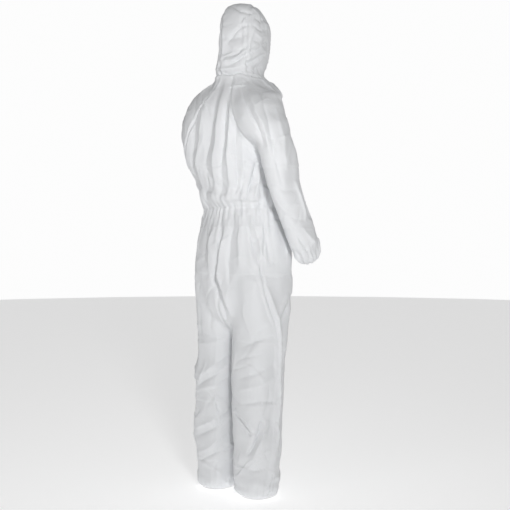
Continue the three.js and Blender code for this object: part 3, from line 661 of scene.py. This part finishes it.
def quiet(P):
    """0 beside the zip and at the floor, where the cloth stays in place, and 1 elsewhere."""
    front = (P[:, 1] < 0) & ON_TRUNK & (P[:, 2] > ZIP_BOTTOM - 0.022)
    under_flap = smoothstep(0.085, 0.115, P[:, 0])  # the open flap lies back over the left front
    beside = np.where(front, np.where(P[:, 0] > 0, under_flap, smoothstep(0.030, 0.060, -P[:, 0])), 1)
    return beside * smoothstep(0.004, 0.03, P[:, 2])


def seam_ridge(P):
    """A sewn seam lies in a shallow groove that the thread puckers."""
    lift = np.zeros(len(P))
    fields = [(sleeve_side(P, "right"), ~ABOVE_NECK & (P[:, 2] > ARMPIT - 0.01)),
              (sleeve_side(P, "left"), ~ABOVE_NECK & (P[:, 2] > ARMPIT - 0.01)),
              (neck_side(P), np.ones(len(P), bool)),
              (np.abs(turned_z(P, -HOOD_TURN)[:, 0]) - HOOD_SEAM_X, ABOVE_NECK & (P[:, 1] > -0.03)),
              (P[:, 0], ON_TRUNK & (P[:, 2] < WAIST) & (P[:, 2] > 0.62) & (P[:, 1] > 0)),
              (leg_seam(P), ON_TRUNK & (P[:, 2] < WAIST))]
    pucker = 1 + 0.8 * lattice(P, 0.016, 81)
    for field, where in fields:
        lift -= np.where(where, 0.0026 * np.exp(-(field / 0.0038) ** 2) * pucker, 0)
        lift += np.where(where, 0.0016 * np.exp(-((np.abs(field) - 0.0095) / 0.0045) ** 2) * pucker, 0)
    return lift * quiet(P)


def halved(V, T, *carried):
    """Each triangle cut into four, with the values carried at the vertices."""
    E = np.sort(np.concatenate([T[:, [0, 1]], T[:, [1, 2]], T[:, [2, 0]]]), 1)
    unique, index = np.unique(E, axis=0, return_inverse=True)
    a, b, c = index.reshape(3, -1) + len(V)
    grown = [np.concatenate([v, (v[unique[:, 0]] + v[unique[:, 1]]) / 2]) for v in (V, *carried)]
    T = np.concatenate([np.stack(t, 1) for t in ((T[:, 0], a, c), (a, T[:, 1], b), (c, b, T[:, 2]), (a, b, c))])
    return grown, T


def edges_of(T):
    return np.unique(np.sort(np.concatenate([T[:, [0, 1]], T[:, [1, 2]], T[:, [2, 0]]]), 1), axis=0)


V = base + N0 * (soft_dents(base) * quiet(base))[:, None]
shape.data.vertices.foreach_set("co", V.ravel())
shape.data.update()
settle(shape, held_at(base))
moved = relax(coordinates(shape.data) - V, edges, 3) * np.where(ABOVE_NECK, 0.5, 1.0)[:, None]
size = np.linalg.norm(moved, axis=1)
V = V + moved * (MOST_MOVED * np.tanh(size / MOST_MOVED) / np.maximum(size, 1e-9))[:, None]
(V, R), T = halved(V, T0, base)
E = edges_of(T)
V = relax(V, E, 2, 0.5)
regions(R)
V = V + normals_of(V, T) * (gathers(R) * quiet(R))[:, None]
NR = normals_of(R, T)
V = V + normals_of(V, T) * ((fold_height(R, NR) + creases(R, NR) + crumple(R)) * quiet(R))[:, None]
V = relax(V, E, 1, 0.18)
V = V + normals_of(V, T) * seam_ridge(R)[:, None]
V[:, 2] = np.maximum(V[:, 2], 0)


# ---- scene: camera, floor, light
WORLD_LIGHT, SIDE_LIGHT = 0.13, 0.32
BACKDROP, HORIZON, SKY = 0.98, 0.27, 0.42  # how bright it is, and where it fades upwards
CAMERA_DISTANCE, CAMERA_HEIGHT, AIM_HEIGHT, AIM_ACROSS = 3.5, 1.0, 0.8725, 0.0445
LENS, SENSOR = 66.6, 36
FLOOR_RADIUS = 9


def stage():
    target = Vector(ACROSS * AIM_ACROSS + np.array([0, 0, AIM_HEIGHT]))
    tilt = math.asin((CAMERA_HEIGHT - AIM_HEIGHT) / CAMERA_DISTANCE)
    back = Vector((math.sin(SEEN) * math.cos(tilt), -math.cos(SEEN) * math.cos(tilt), math.sin(tilt)))
    camera = bpy.data.objects.new("camera", bpy.data.cameras.new("camera"))
    camera.data.lens = LENS
    camera.data.sensor_width = SENSOR
    camera.location = target + back * CAMERA_DISTANCE
    camera.rotation_euler = back.to_track_quat("Z", "Y").to_euler()
    bpy.context.scene.collection.objects.link(camera)
    bpy.context.scene.camera = camera
    bpy.context.scene.view_settings.view_transform = "Standard"

    world = bpy.data.worlds.new("studio")
    bpy.context.scene.world = world
    world.use_nodes = True
    world.node_tree.nodes["Background"].inputs["Color"].default_value = (1, 1, 1, 1)
    nodes, links = world.node_tree.nodes, world.node_tree.links
    place, split = nodes.new("ShaderNodeTexCoord"), nodes.new("ShaderNodeSeparateXYZ")
    # a white backdrop stands opposite the camera; the rest of the studio is dimmer, and so is what is above it
    ahead = nodes.new("ShaderNodeVectorMath")
    ahead.operation = "DOT_PRODUCT"
    ahead.inputs[1].default_value = tuple(-TOWARDS)

    def fade(value, from_min, from_max, to_min, to_max):
        made = nodes.new("ShaderNodeMapRange")
        for label, number in (("From Min", from_min), ("From Max", from_max), ("To Min", to_min), ("To Max", to_max)):
            if not isinstance(number, float):
                links.new(number, made.inputs[label])
            else:
                made.inputs[label].default_value = number
        links.new(value, made.inputs["Value"])
        return made.outputs["Result"]

    links.new(place.outputs["Generated"], ahead.inputs[0])
    links.new(place.outputs["Generated"], split.inputs[0])
    level = fade(split.outputs["Z"], HORIZON, SKY, fade(ahead.outputs["Value"], 0.78, 0.90, SIDE_LIGHT, BACKDROP),
                 WORLD_LIGHT)
    links.new(level, nodes["Background"].inputs["Strength"])

    def area(name, azimuth, height, distance, size, watts, spread=180, aim=0.95):
        light = bpy.data.lights.new(name, "AREA")
        light.shape = "DISK"
        light.size = size
        light.energy = watts
        light.spread = math.radians(spread)
        obj = bpy.data.objects.new(name, light)
        a = math.radians(azimuth)
        obj.location = (distance * math.sin(a), -distance * math.cos(a), height)
        obj.rotation_euler = (Vector(obj.location) - Vector((0, 0, aim))).to_track_quat("Z", "Y").to_euler()
        bpy.context.scene.collection.objects.link(obj)

    area("key", 230, 2.0, 3.4, 0.5, 9.0, 74, 1.14)
    area("fill", 178, 1.7, 4.0, 2.0, 10)

    turns = [2 * math.pi * i / 48 for i in range(48)]
    ring = [(FLOOR_RADIUS * math.cos(a), FLOOR_RADIUS * math.sin(a), -CLOTH) for a in turns]
    floor = put("floor", make_mesh("floor", ring, [range(48)]))
    material = bpy.data.materials.new("floor")
    material.use_nodes = True
    shader = material.node_tree.nodes["Principled BSDF"]
    shader.inputs["Base Color"].default_value = (0.93, 0.93, 0.93, 1)
    shader.inputs["Emission Color"].default_value = (1, 1, 1, 1)
    shader.inputs["Emission Strength"].default_value = 0.54
    shader.inputs["Roughness"].default_value = 0.8
    floor.data.materials.append(material)


# ---- the surface is cut along its seams
N = normals_of(V, T)
AREA = np.array(["suit"] * len(T), dtype="<U24")


def split(source, field, new):
    """Triangles of source where field is above 0 become new; those it crosses are cut there."""
    global V, R, N, T, AREA
    rows = np.flatnonzero(AREA == source)
    f = field(R)
    f = np.where(np.abs(f) < 1e-6, 1e-6, f)
    above = f[T[rows]] > 0
    count = above.sum(1)
    AREA[rows[count == 3]] = new
    crossed = (count == 1) | (count == 2)
    mixed, above = rows[crossed], above[crossed]
    lone = np.where(above.sum(1) == 1, above.argmax(1), (~above).argmax(1))
    k = np.arange(len(mixed))
    t = T[mixed]
    a, b, c = t[k, lone], t[k, (lone + 1) % 3], t[k, (lone + 2) % 3]
    pairs = np.sort(np.concatenate([np.stack([a, b], 1), np.stack([a, c], 1)]), 1)
    unique, index = np.unique(pairs, axis=0, return_inverse=True)
    p, q = (index.reshape(2, -1) + len(V))
    i, j = unique.T
    share = np.clip(f[i] / (f[i] - f[j]), 0.03, 0.97)[:, None]
    V, R, N = (np.concatenate([v, v[i] + share * (v[j] - v[i])]) for v in (V, R, N))
    lone_above = f[a] > 0
    T[mixed] = np.stack([a, p, q], 1)
    AREA[mixed] = np.where(lone_above, new, source)
    T = np.concatenate([T, np.stack([p, b, c], 1), np.stack([p, c, q], 1)])
    AREA = np.concatenate([AREA, np.tile(np.where(lone_above, source, new), 2)])


def arm_down(side):
    return lambda P: along_arm(P, side)[0]


split("suit", neck_side, "hood")
split("hood", lambda P: NECK_BAND - neck_side(P), "neck")
split("hood", lambda P: 1 - face_radius(P), "opening")
split("hood", lambda P: FACE_HEM - face_radius(P), "face_edge")
for side, sign in (("left", 1), ("right", -1)):
    split("hood", lambda P: sign * turned_z(P, -HOOD_TURN)[:, 0] - HOOD_SEAM_X, "hood_" + side)
    split("suit", lambda P: sleeve_side(P, side), "sleeve_" + side)
    split("sleeve_" + side, lambda P: arm_down(side)(P) - ELBOW_CUT, "forearm_" + side)
    split("forearm_" + side, lambda P: arm_down(side)(P) - CUFF_CUT, "cuff_" + side)
    split("cuff_" + side, lambda P: arm_down(side)(P) - (UPPER_ARM + FOREARM - 0.003), "opening")
split("suit", lambda P: WAIST_BAND - waist_side(P), "low")
split("low", lambda P: -WAIST_BAND - waist_side(P), "hips")
split("suit", lambda P: -side_seam(P), "chest")
split("chest", lambda P: np.minimum(ZIP_HALF - np.abs(P[:, 0]), ZIP_TOP - P[:, 2]), "opening")
split("low", lambda P: np.where(P[:, 1] < 0, ZIP_HALF - np.abs(P[:, 0]), -1), "opening")
split("hips", lambda P: THIGH_CUT - P[:, 2], "shank")
split("hips", lambda P: np.minimum(GUSSET_HALF * (1 - (P[:, 1] / GUSSET_REACH) ** 2) - np.abs(P[:, 0]),
                                   0.70 - P[:, 2]), "gusset")
split("hips", lambda P: -leg_seam(P), "lower_front")
split("lower_front", lambda P: np.minimum(ZIP_HALF - np.abs(P[:, 0]), P[:, 2] - ZIP_BOTTOM), "opening")
split("shank", lambda P: HEM - P[:, 2], "hem")
split("hem", lambda P: 0.0032 - P[:, 2], "opening")
split("shank", lambda P: -leg_seam(P), "leg_front")
for name in ("chest", "hips", "gusset", "lower_front", "shank", "leg_front", "hem"):
    split(name, lambda P: P[:, 0], name + "_left")


# ---- materials
def material(name, colour, roughness, build, **values):
    m = bpy.data.materials.new(name)
    m.use_nodes = True
    shader = m.node_tree.nodes["Principled BSDF"]
    shader.inputs["Base Color"].default_value = (*colour, 1)
    shader.inputs["Roughness"].default_value = roughness
    for key, value in values.items():
        shader.inputs[key.replace("_", " ")].default_value = value
    build(m.node_tree, shader, colour, roughness)
    return m


def node(tree, kind, **settings):
    """A new node with settings: input values where the name is an input's, properties otherwise."""
    made = tree.nodes.new(kind)
    for key, value in settings.items():
        label = key.replace("_", " ")
        if label in made.inputs:
            made.inputs[label].default_value = value
        else:
            setattr(made, key, value)
    return made


def object_place(tree, scale=(1, 1, 1)):
    place = node(tree, "ShaderNodeTexCoord")
    mapping = node(tree, "ShaderNodeMapping", Scale=scale)
    tree.links.new(place.outputs["Object"], mapping.inputs["Vector"])
    return mapping.outputs["Vector"]


def varied(tree, shader, value, low, high, socket):
    """A texture value drives colour or roughness between low and high."""
    ramp = node(tree, "ShaderNodeMapRange" if socket == "Roughness" else "ShaderNodeValToRGB")
    if socket == "Roughness":
        ramp.inputs["To Min"].default_value = low
        ramp.inputs["To Max"].default_value = high
        tree.links.new(value, ramp.inputs["Value"])
        tree.links.new(ramp.outputs["Result"], shader.inputs[socket])
    else:
        ramp.color_ramp.elements[0].position = 0.3
        ramp.color_ramp.elements[1].position = 0.7
        ramp.color_ramp.elements[0].color = (*low, 1)
        ramp.color_ramp.elements[1].color = (*high, 1)
        tree.links.new(value, ramp.inputs["Fac"])
        tree.links.new(ramp.outputs["Color"], shader.inputs[socket])


def bumps(tree, shader, layers):
    """A chain of bumps: (height output, distance in metres, strength)."""
    normal = None
    for height, distance, strength in layers:
        bump = node(tree, "ShaderNodeBump", Distance=distance, Strength=strength)
        tree.links.new(height, bump.inputs["Height"])
        if normal:
            tree.links.new(normal, bump.inputs["Normal"])
        normal = bump.outputs["Normal"]
    tree.links.new(normal, shader.inputs["Normal"])


def nonwoven(tree, shader, colour, roughness):
    """Film on spun fibres: bond points, fibre clouds and small creases."""
    place = object_place(tree)
    bonds = node(tree, "ShaderNodeTexVoronoi", Scale=620.0, Randomness=0.25)
    fibres = node(tree, "ShaderNodeTexNoise", Scale=900.0, Detail=4.0, Roughness=0.65)
    clouds = node(tree, "ShaderNodeTexNoise", Scale=7.0, Detail=3.0, Roughness=0.5)
    creases = node(tree, "ShaderNodeTexNoise", Scale=26.0, Detail=7.0, Roughness=0.62, Distortion=0.7)
    rough = node(tree, "ShaderNodeTexNoise", Scale=60.0, Detail=5.0, Roughness=0.6)
    for texture in (bonds, fibres, clouds, creases, rough):
        tree.links.new(place, texture.inputs["Vector"])
    shade = [c * 0.975 for c in colour]
    varied(tree, shader, clouds.outputs["Fac"], shade, colour, "Base Color")
    varied(tree, shader, rough.outputs["Fac"], roughness - 0.07, roughness + 0.07, "Roughness")
    bumps(tree, shader, [(creases.outputs["Fac"], 0.0022, 0.4), (rough.outputs["Fac"], 0.0008, 0.3),
                         (fibres.outputs["Fac"], 0.0002, 0.4), (bonds.outputs["Distance"], 0.0002, 0.5)])


def woven(tree, shader, colour, roughness):
    """A narrow woven tape, ribbed along its length."""
    place = object_place(tree)
    ribs = node(tree, "ShaderNodeTexWave", Scale=260.0, Distortion=0.3, bands_direction="Z")
    cross = node(tree, "ShaderNodeTexWave", Scale=210.0, Distortion=0.3, bands_direction="X")
    dust = node(tree, "ShaderNodeTexNoise", Scale=120.0, Detail=4.0)
    for texture in (ribs, cross, dust):
        tree.links.new(place, texture.inputs["Vector"])
    varied(tree, shader, dust.outputs["Fac"], [c * 0.93 for c in colour], colour, "Base Color")
    bumps(tree, shader, [(ribs.outputs["Fac"], 0.0003, 0.7), (cross.outputs["Fac"], 0.0002, 0.6)])


def moulded(tree, shader, colour, roughness):
    place = object_place(tree)
    grain = node(tree, "ShaderNodeTexNoise", Scale=700.0, Detail=3.0)
    tree.links.new(place, grain.inputs["Vector"])
    varied(tree, shader, grain.outputs["Fac"], roughness - 0.06, roughness + 0.08, "Roughness")
    bumps(tree, shader, [(grain.outputs["Fac"], 0.0001, 0.4)])


LAMINATE = material("laminate", (0.815, 0.825, 0.84), 0.56, nonwoven, Sheen_Weight=0.08, Sheen_Roughness=0.4)
HEM_CLOTH = material("elastic_hem", (0.80, 0.81, 0.825), 0.66, nonwoven, Sheen_Weight=0.10, Sheen_Roughness=0.5)
TAPE = material("zip_tape", (0.80, 0.81, 0.82), 0.8, woven, Sheen_Weight=0.2)
PLASTIC = material("zip_plastic", (0.83, 0.84, 0.84), 0.36, moulded)
METAL = material("zip_metal", (0.84, 0.845, 0.85), 0.34, moulded, Metallic=0.35, Coat_Weight=0.4)
ADHESIVE = material("flap_tape", (0.80, 0.78, 0.70), 0.22, moulded, Coat_Weight=0.3)
FINISH = {"laminate": LAMINATE, "elastic_hem": HEM_CLOTH, "zip_tape": TAPE, "zip_plastic": PLASTIC,
          "flap_tape": ADHESIVE}


# ---- the pieces
def fast_mesh(name, verts, faces, normals=None):
    """A mesh from an array of vertices and arrays of triangles or quads."""
    mesh = bpy.data.meshes.new(name)
    mesh.vertices.add(len(verts))
    mesh.vertices.foreach_set("co", np.ascontiguousarray(verts, dtype=np.float32).ravel())
    sizes = np.concatenate([np.full(len(f), f.shape[1]) for f in faces])
    mesh.loops.add(int(sizes.sum()))
    mesh.loops.foreach_set("vertex_index", np.concatenate([f.ravel() for f in faces]).astype(np.int32))
    mesh.polygons.add(len(sizes))
    mesh.polygons.foreach_set("loop_start", np.concatenate([[0], np.cumsum(sizes)[:-1]]).astype(np.int32))
    mesh.polygons.foreach_set("use_smooth", np.ones(len(sizes), bool))
    mesh.update(calc_edges=True)
    mesh.validate()
    if normals is not None:
        mesh.normals_split_custom_set_from_vertices([tuple(n) for n in normals])
    return mesh


def layered(label, thick):
    """The triangles of one area as a closed sheet, with an inner face and an edge all round."""
    t = T[AREA == label]
    ids, index = np.unique(t, return_inverse=True)
    t = index.reshape(-1, 3)
    n = N[ids] / np.linalg.norm(N[ids], axis=1)[:, None]
    outer, count = V[ids], len(ids)
    e = np.concatenate([t[:, [0, 1]], t[:, [1, 2]], t[:, [2, 0]]])
    code = e[:, 0] * count + e[:, 1]
    back = e[:, 1] * count + e[:, 0]
    rim = e[~np.isin(code, back)]
    quads = np.stack([rim[:, 1], rim[:, 0], rim[:, 0] + count, rim[:, 1] + count], 1)
    return fast_mesh(label, np.concatenate([outer, outer - n * thick]), [t, t[:, ::-1] + count, quads],
                     np.concatenate([n, -n]))


def finish(obj, slot, nodes):
    obj.data.materials.append(FINISH[slot])
    if nodes:
        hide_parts(*nodes)


def cloth_piece(name, label, hold, nodes, slot="laminate", thick=CLOTH):
    """One cut piece of the suit. hold is a body that the piece is attached to; given as (body, body, start, end) across
    a joint, its values are not used and the piece only has its transform baked.
    """
    obj = put(name, layered(label, thick))
    if isinstance(hold, str):
        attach(obj, hold)
    else:
        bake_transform(obj)
    finish(obj, slot, nodes)


HOOD_BEND = ("torso", "hood", (0, 0, 1.536), (0, 0, 1.675))
HIP_START, HIP_END, KNEE_START, KNEE_END = 0.715, THIGH_CUT + 0.001, THIGH_CUT - 0.005, 0.395

cloth_piece("hood_centre", "hood", HOOD_BEND, ["hood_centre_panel"])
cloth_piece("hood_side_left", "hood_left", HOOD_BEND, ["hood_left_panel"])
cloth_piece("hood_side_right", "hood_right", HOOD_BEND, ["hood_right_panel"])
cloth_piece("face_elastic_edge", "face_edge", HOOD_BEND, ["face_elastic"], "elastic_hem",
            0.0016)
cloth_piece("neck_fold", "neck", HOOD_BEND, ["neck_section"])
cloth_piece("back", "suit", "torso", ["back_panel"])
cloth_piece("waist_elastic_band", "low", "torso", ["waist_elastic"], "elastic_hem", 0.0014)
for side, sign in (("right", -1), ("left", 1)):
    tail = "_left" if side == "left" else ""
    cloth_piece("front_" + side, "chest" + tail, "torso", [side + "_front_panel"])
    _, _, elbow, fore = arm_bones(side)
    lean = np.array(SLEEVE_LEAN[side])
    seam = R[T[AREA == "sleeve_" + side]].reshape(-1, 3)
    near_trunk = seam[np.abs(sleeve_side(seam, side)) < 0.004]
    near_elbow = seam[np.abs(along_arm(seam, side)[0] - ELBOW_CUT) < 0.003]
    start, end = np.max(near_trunk @ lean), np.min(near_elbow @ lean)
    arm, low_arm = side + "_upper_arm", side + "_lower_arm"
    armpit = ("torso", arm, tuple(lean * start), tuple(lean * end))
    cloth_piece("sleeve_" + side, "sleeve_" + side, armpit,
                [side + "_raglan_top", side + "_upper_sleeve"])
    bend = [tuple(elbow + fore * (ELBOW_CUT - UPPER_ARM + further)) for further in (0, ELBOW_BEND)]
    cloth_piece("forearm_" + side, "forearm_" + side, (arm, low_arm, *bend),
                [side + "_elbow_section", side + "_forearm"])
    cloth_piece("cuff_" + side, "cuff_" + side, low_arm, [side + "_cuff_elastic"],
                "elastic_hem", 0.0016)
    leg, low_leg = side + "_upper_leg", side + "_lower_leg"
    hip = ("torso", leg, (0, 0, HIP_START), (0, 0, HIP_END))
    knee = (leg, low_leg, (0, 0, KNEE_START), (0, 0, KNEE_END))
    cloth_piece("seat_" + side, "hips" + tail, hip, [side + "_seat", side + "_hip_section"])
    cloth_piece("lower_front_" + side, "lower_front" + tail, hip, [side + "_lower_front"])
    cloth_piece("gusset_" + side, "gusset" + tail, hip,
                ["crotch_gusset"] if side == "right" else [])
    cloth_piece("leg_back_" + side, "shank" + tail, knee,
                [side + "_thigh_back", side + "_knee_section", side + "_shin_back"])
    cloth_piece("leg_front_" + side, "leg_front" + tail, knee,
                [side + "_thigh_front", side + "_shin_front"])
    cloth_piece("hem_" + side, "hem" + tail, low_leg, [side + "_ankle_elastic"], "elastic_hem",
                0.0016)


# ---- zip and storm flap
AXIS = np.array([0, FRONT_SLOPE, 1]) / math.hypot(1, FRONT_SLOPE)
OUTWARD = np.array([0, -1, FRONT_SLOPE]) / math.hypot(1, FRONT_SLOPE)
FOOT = np.array([0, -float(front_at(ZIP_BOTTOM)), ZIP_BOTTOM])
ZIP_LENGTH = (ZIP_TOP - ZIP_BOTTOM) / AXIS[2]
BEHIND = -0.0048  # the tapes lie behind the fabric's edge
TAPE_WIDTH, TAPE_THICK, COIL_PITCH, COIL_START = 0.0147, 0.0006, 0.0021, 0.004


def on_zip(x, along, out):
    x, along, out = np.broadcast_arrays(x, along, out)
    return FOOT + x[..., None] * np.array([1, 0, 0]) + along[..., None] * AXIS + out[..., None] * OUTWARD


def tube(path, radius, sides):
    """A round tube along path, with both ends closed."""
    tangent = np.gradient(path, axis=0)
    tangent /= np.linalg.norm(tangent, axis=1)[:, None]
    across = np.cross(tangent, OUTWARD + 0.1 * AXIS)
    across /= np.linalg.norm(across, axis=1)[:, None]
    over = np.cross(across, tangent)
    t = np.arange(sides) / sides * 2 * math.pi
    c, s = np.cos(t)[None, :, None], np.sin(t)[None, :, None]
    return loft(list(path[:, None] + radius * (c * across[:, None] + s * over[:, None])))


def sheet_grid(point, nu, nv, thick_out):
    """A closed sheet over a grid of nu by nv points; point(u, v, out) places them."""
    u, v = np.meshgrid(np.linspace(0, 1, nu), np.linspace(0, 1, nv), indexing="ij")
    top, low = point(u, v, thick_out), point(u, v, 0)
    verts = np.concatenate([top.reshape(-1, 3), low.reshape(-1, 3)])
    k = np.arange(nu * nv).reshape(nu, nv)
    quads = np.stack([k[:-1, :-1], k[1:, :-1], k[1:, 1:], k[:-1, 1:]], -1).reshape(-1, 4)
    edge = np.concatenate([k[:, 0], k[-1, 1:], k[-2::-1, -1], k[0, -2:0:-1]])
    after = np.roll(edge, -1)
    rim = np.stack([after, edge, edge + nu * nv, after + nu * nv], 1)
    return verts, [quads, quads[:, ::-1] + nu * nv, rim]


def hardware(name, verts, faces, body, slot, nodes):
    mesh = make_mesh(name, verts, faces)
    mesh.polygons.foreach_set("use_smooth", np.ones(len(mesh.polygons), bool))
    obj = put(name, mesh)
    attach(obj, body)
    finish(obj, slot, nodes)


for side, sign in (("left", 1), ("right", -1)):
    def tape_point(u, v, out, sign=sign):
        return on_zip(sign * (0.0003 + TAPE_WIDTH * (u if sign > 0 else 1 - u)), v * ZIP_LENGTH,
                      BEHIND - TAPE_THICK + out)

    verts, faces = sheet_grid(tape_point, 6, 90, TAPE_THICK)
    tape = put("zip_tape_" + side, fast_mesh("zip_tape_" + side, verts, faces))
    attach(tape, "torso")
    finish(tape, "zip_tape", [side + "_zip_tape"])
    turns = int((ZIP_LENGTH - 0.013) / COIL_PITCH)
    t = np.linspace(0, turns * 2 * math.pi, turns * 10)
    along = COIL_START + t / (2 * math.pi) * COIL_PITCH
    coil = on_zip(sign * (0.00155 + 0.0010 * np.cos(t)), along, BEHIND + 0.00125 + 0.0008 * np.sin(t))
    hardware("zip_coil_" + side, *tube(coil, 0.00036, 5), "torso", "zip_plastic", [side + "_zip_coil"])
    t = np.linspace(-0.5, 1.5, 16) * math.pi
    stop = on_zip(sign * (0.0021 + 0.0010 * np.cos(t)), ZIP_LENGTH - 0.004 + 0.0008 * np.sin(t), BEHIND + 0.0015)
    hardware("zip_top_stop_" + side, *tube(stop, 0.0007, 8), "torso", "zip_plastic", [side + "_zip_top_stop"])
t = np.linspace(0, 2, 40) * math.pi
stop = on_zip(0.0030 * power(np.cos(t), 0.6), 0.0003 + 0.0019 * power(np.sin(t), 0.6), BEHIND + 0.0017)
hardware("zip_bottom_stop_bar", *tube(stop, 0.0009, 8), "torso", "zip_plastic", ["zip_bottom_stop"])

FLAP_FREE, FLAP_HINGE, FLAP_OUT, FLAP_FROM, FLAP_TO = -0.030, 0.034, 0.0105, 0.008, 0.5836


def flap_rise(x):
    edge = np.minimum(np.abs(x), FLAP_HINGE)
    return np.minimum(FLAP_OUT, FLAP_OUT + (edge - 0.014) / (FLAP_HINGE - 0.014) * (0.0014 - FLAP_OUT))


def flap_point(u, v, out):
    """The flap rises from its seam, runs over the slider and lies on its tape at the free edge."""
    x = FLAP_FREE + (FLAP_HINGE - FLAP_FREE) * u
    rise = np.where(x > 0, flap_rise(x), np.maximum(flap_rise(x), 0.0032) + np.maximum(0, -x - 0.014) * 0.12)
    free = smoothstep(1.0, 0.4, u)
    along = FLAP_FROM + (FLAP_TO - FLAP_FROM) * v
    wave = (0.0007 * np.sin(31 * v + 3 * u) + 0.0005 * np.sin(73 * v + 1.3)) * free
    stitch = -0.0004 * np.exp(-((x - 0.028) / 0.0010) ** 2) * (1 + 0.6 * np.sin(900 * along))
    return on_zip(x, along, rise + wave + stitch + out + 0.0002)


verts, faces = sheet_grid(flap_point, 34, 240, 0.0010)
flap = put("storm_flap_cloth", fast_mesh("storm_flap_cloth", verts, faces))
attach(flap, "flap")
finish(flap, "laminate", ["storm_flap"])


def strip_point(u, v, out):
    at = flap_point(0.05 + 0.155 * u, 0.004 + 0.992 * v, 0.0)
    return at - OUTWARD * (0.0004 - out)


verts, faces = sheet_grid(strip_point, 6, 120, 0.0003)
strip = put("flap_tape_strip", fast_mesh("flap_tape_strip", verts, faces))
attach(strip, "flap")
finish(strip, "flap_tape", ["flap_adhesive_tape"])

for name in ("zip_slider", "zip_pull"):
    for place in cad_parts[name].material_slots:
        place.material = METAL

stage()
bpy.data.objects.remove(shape)
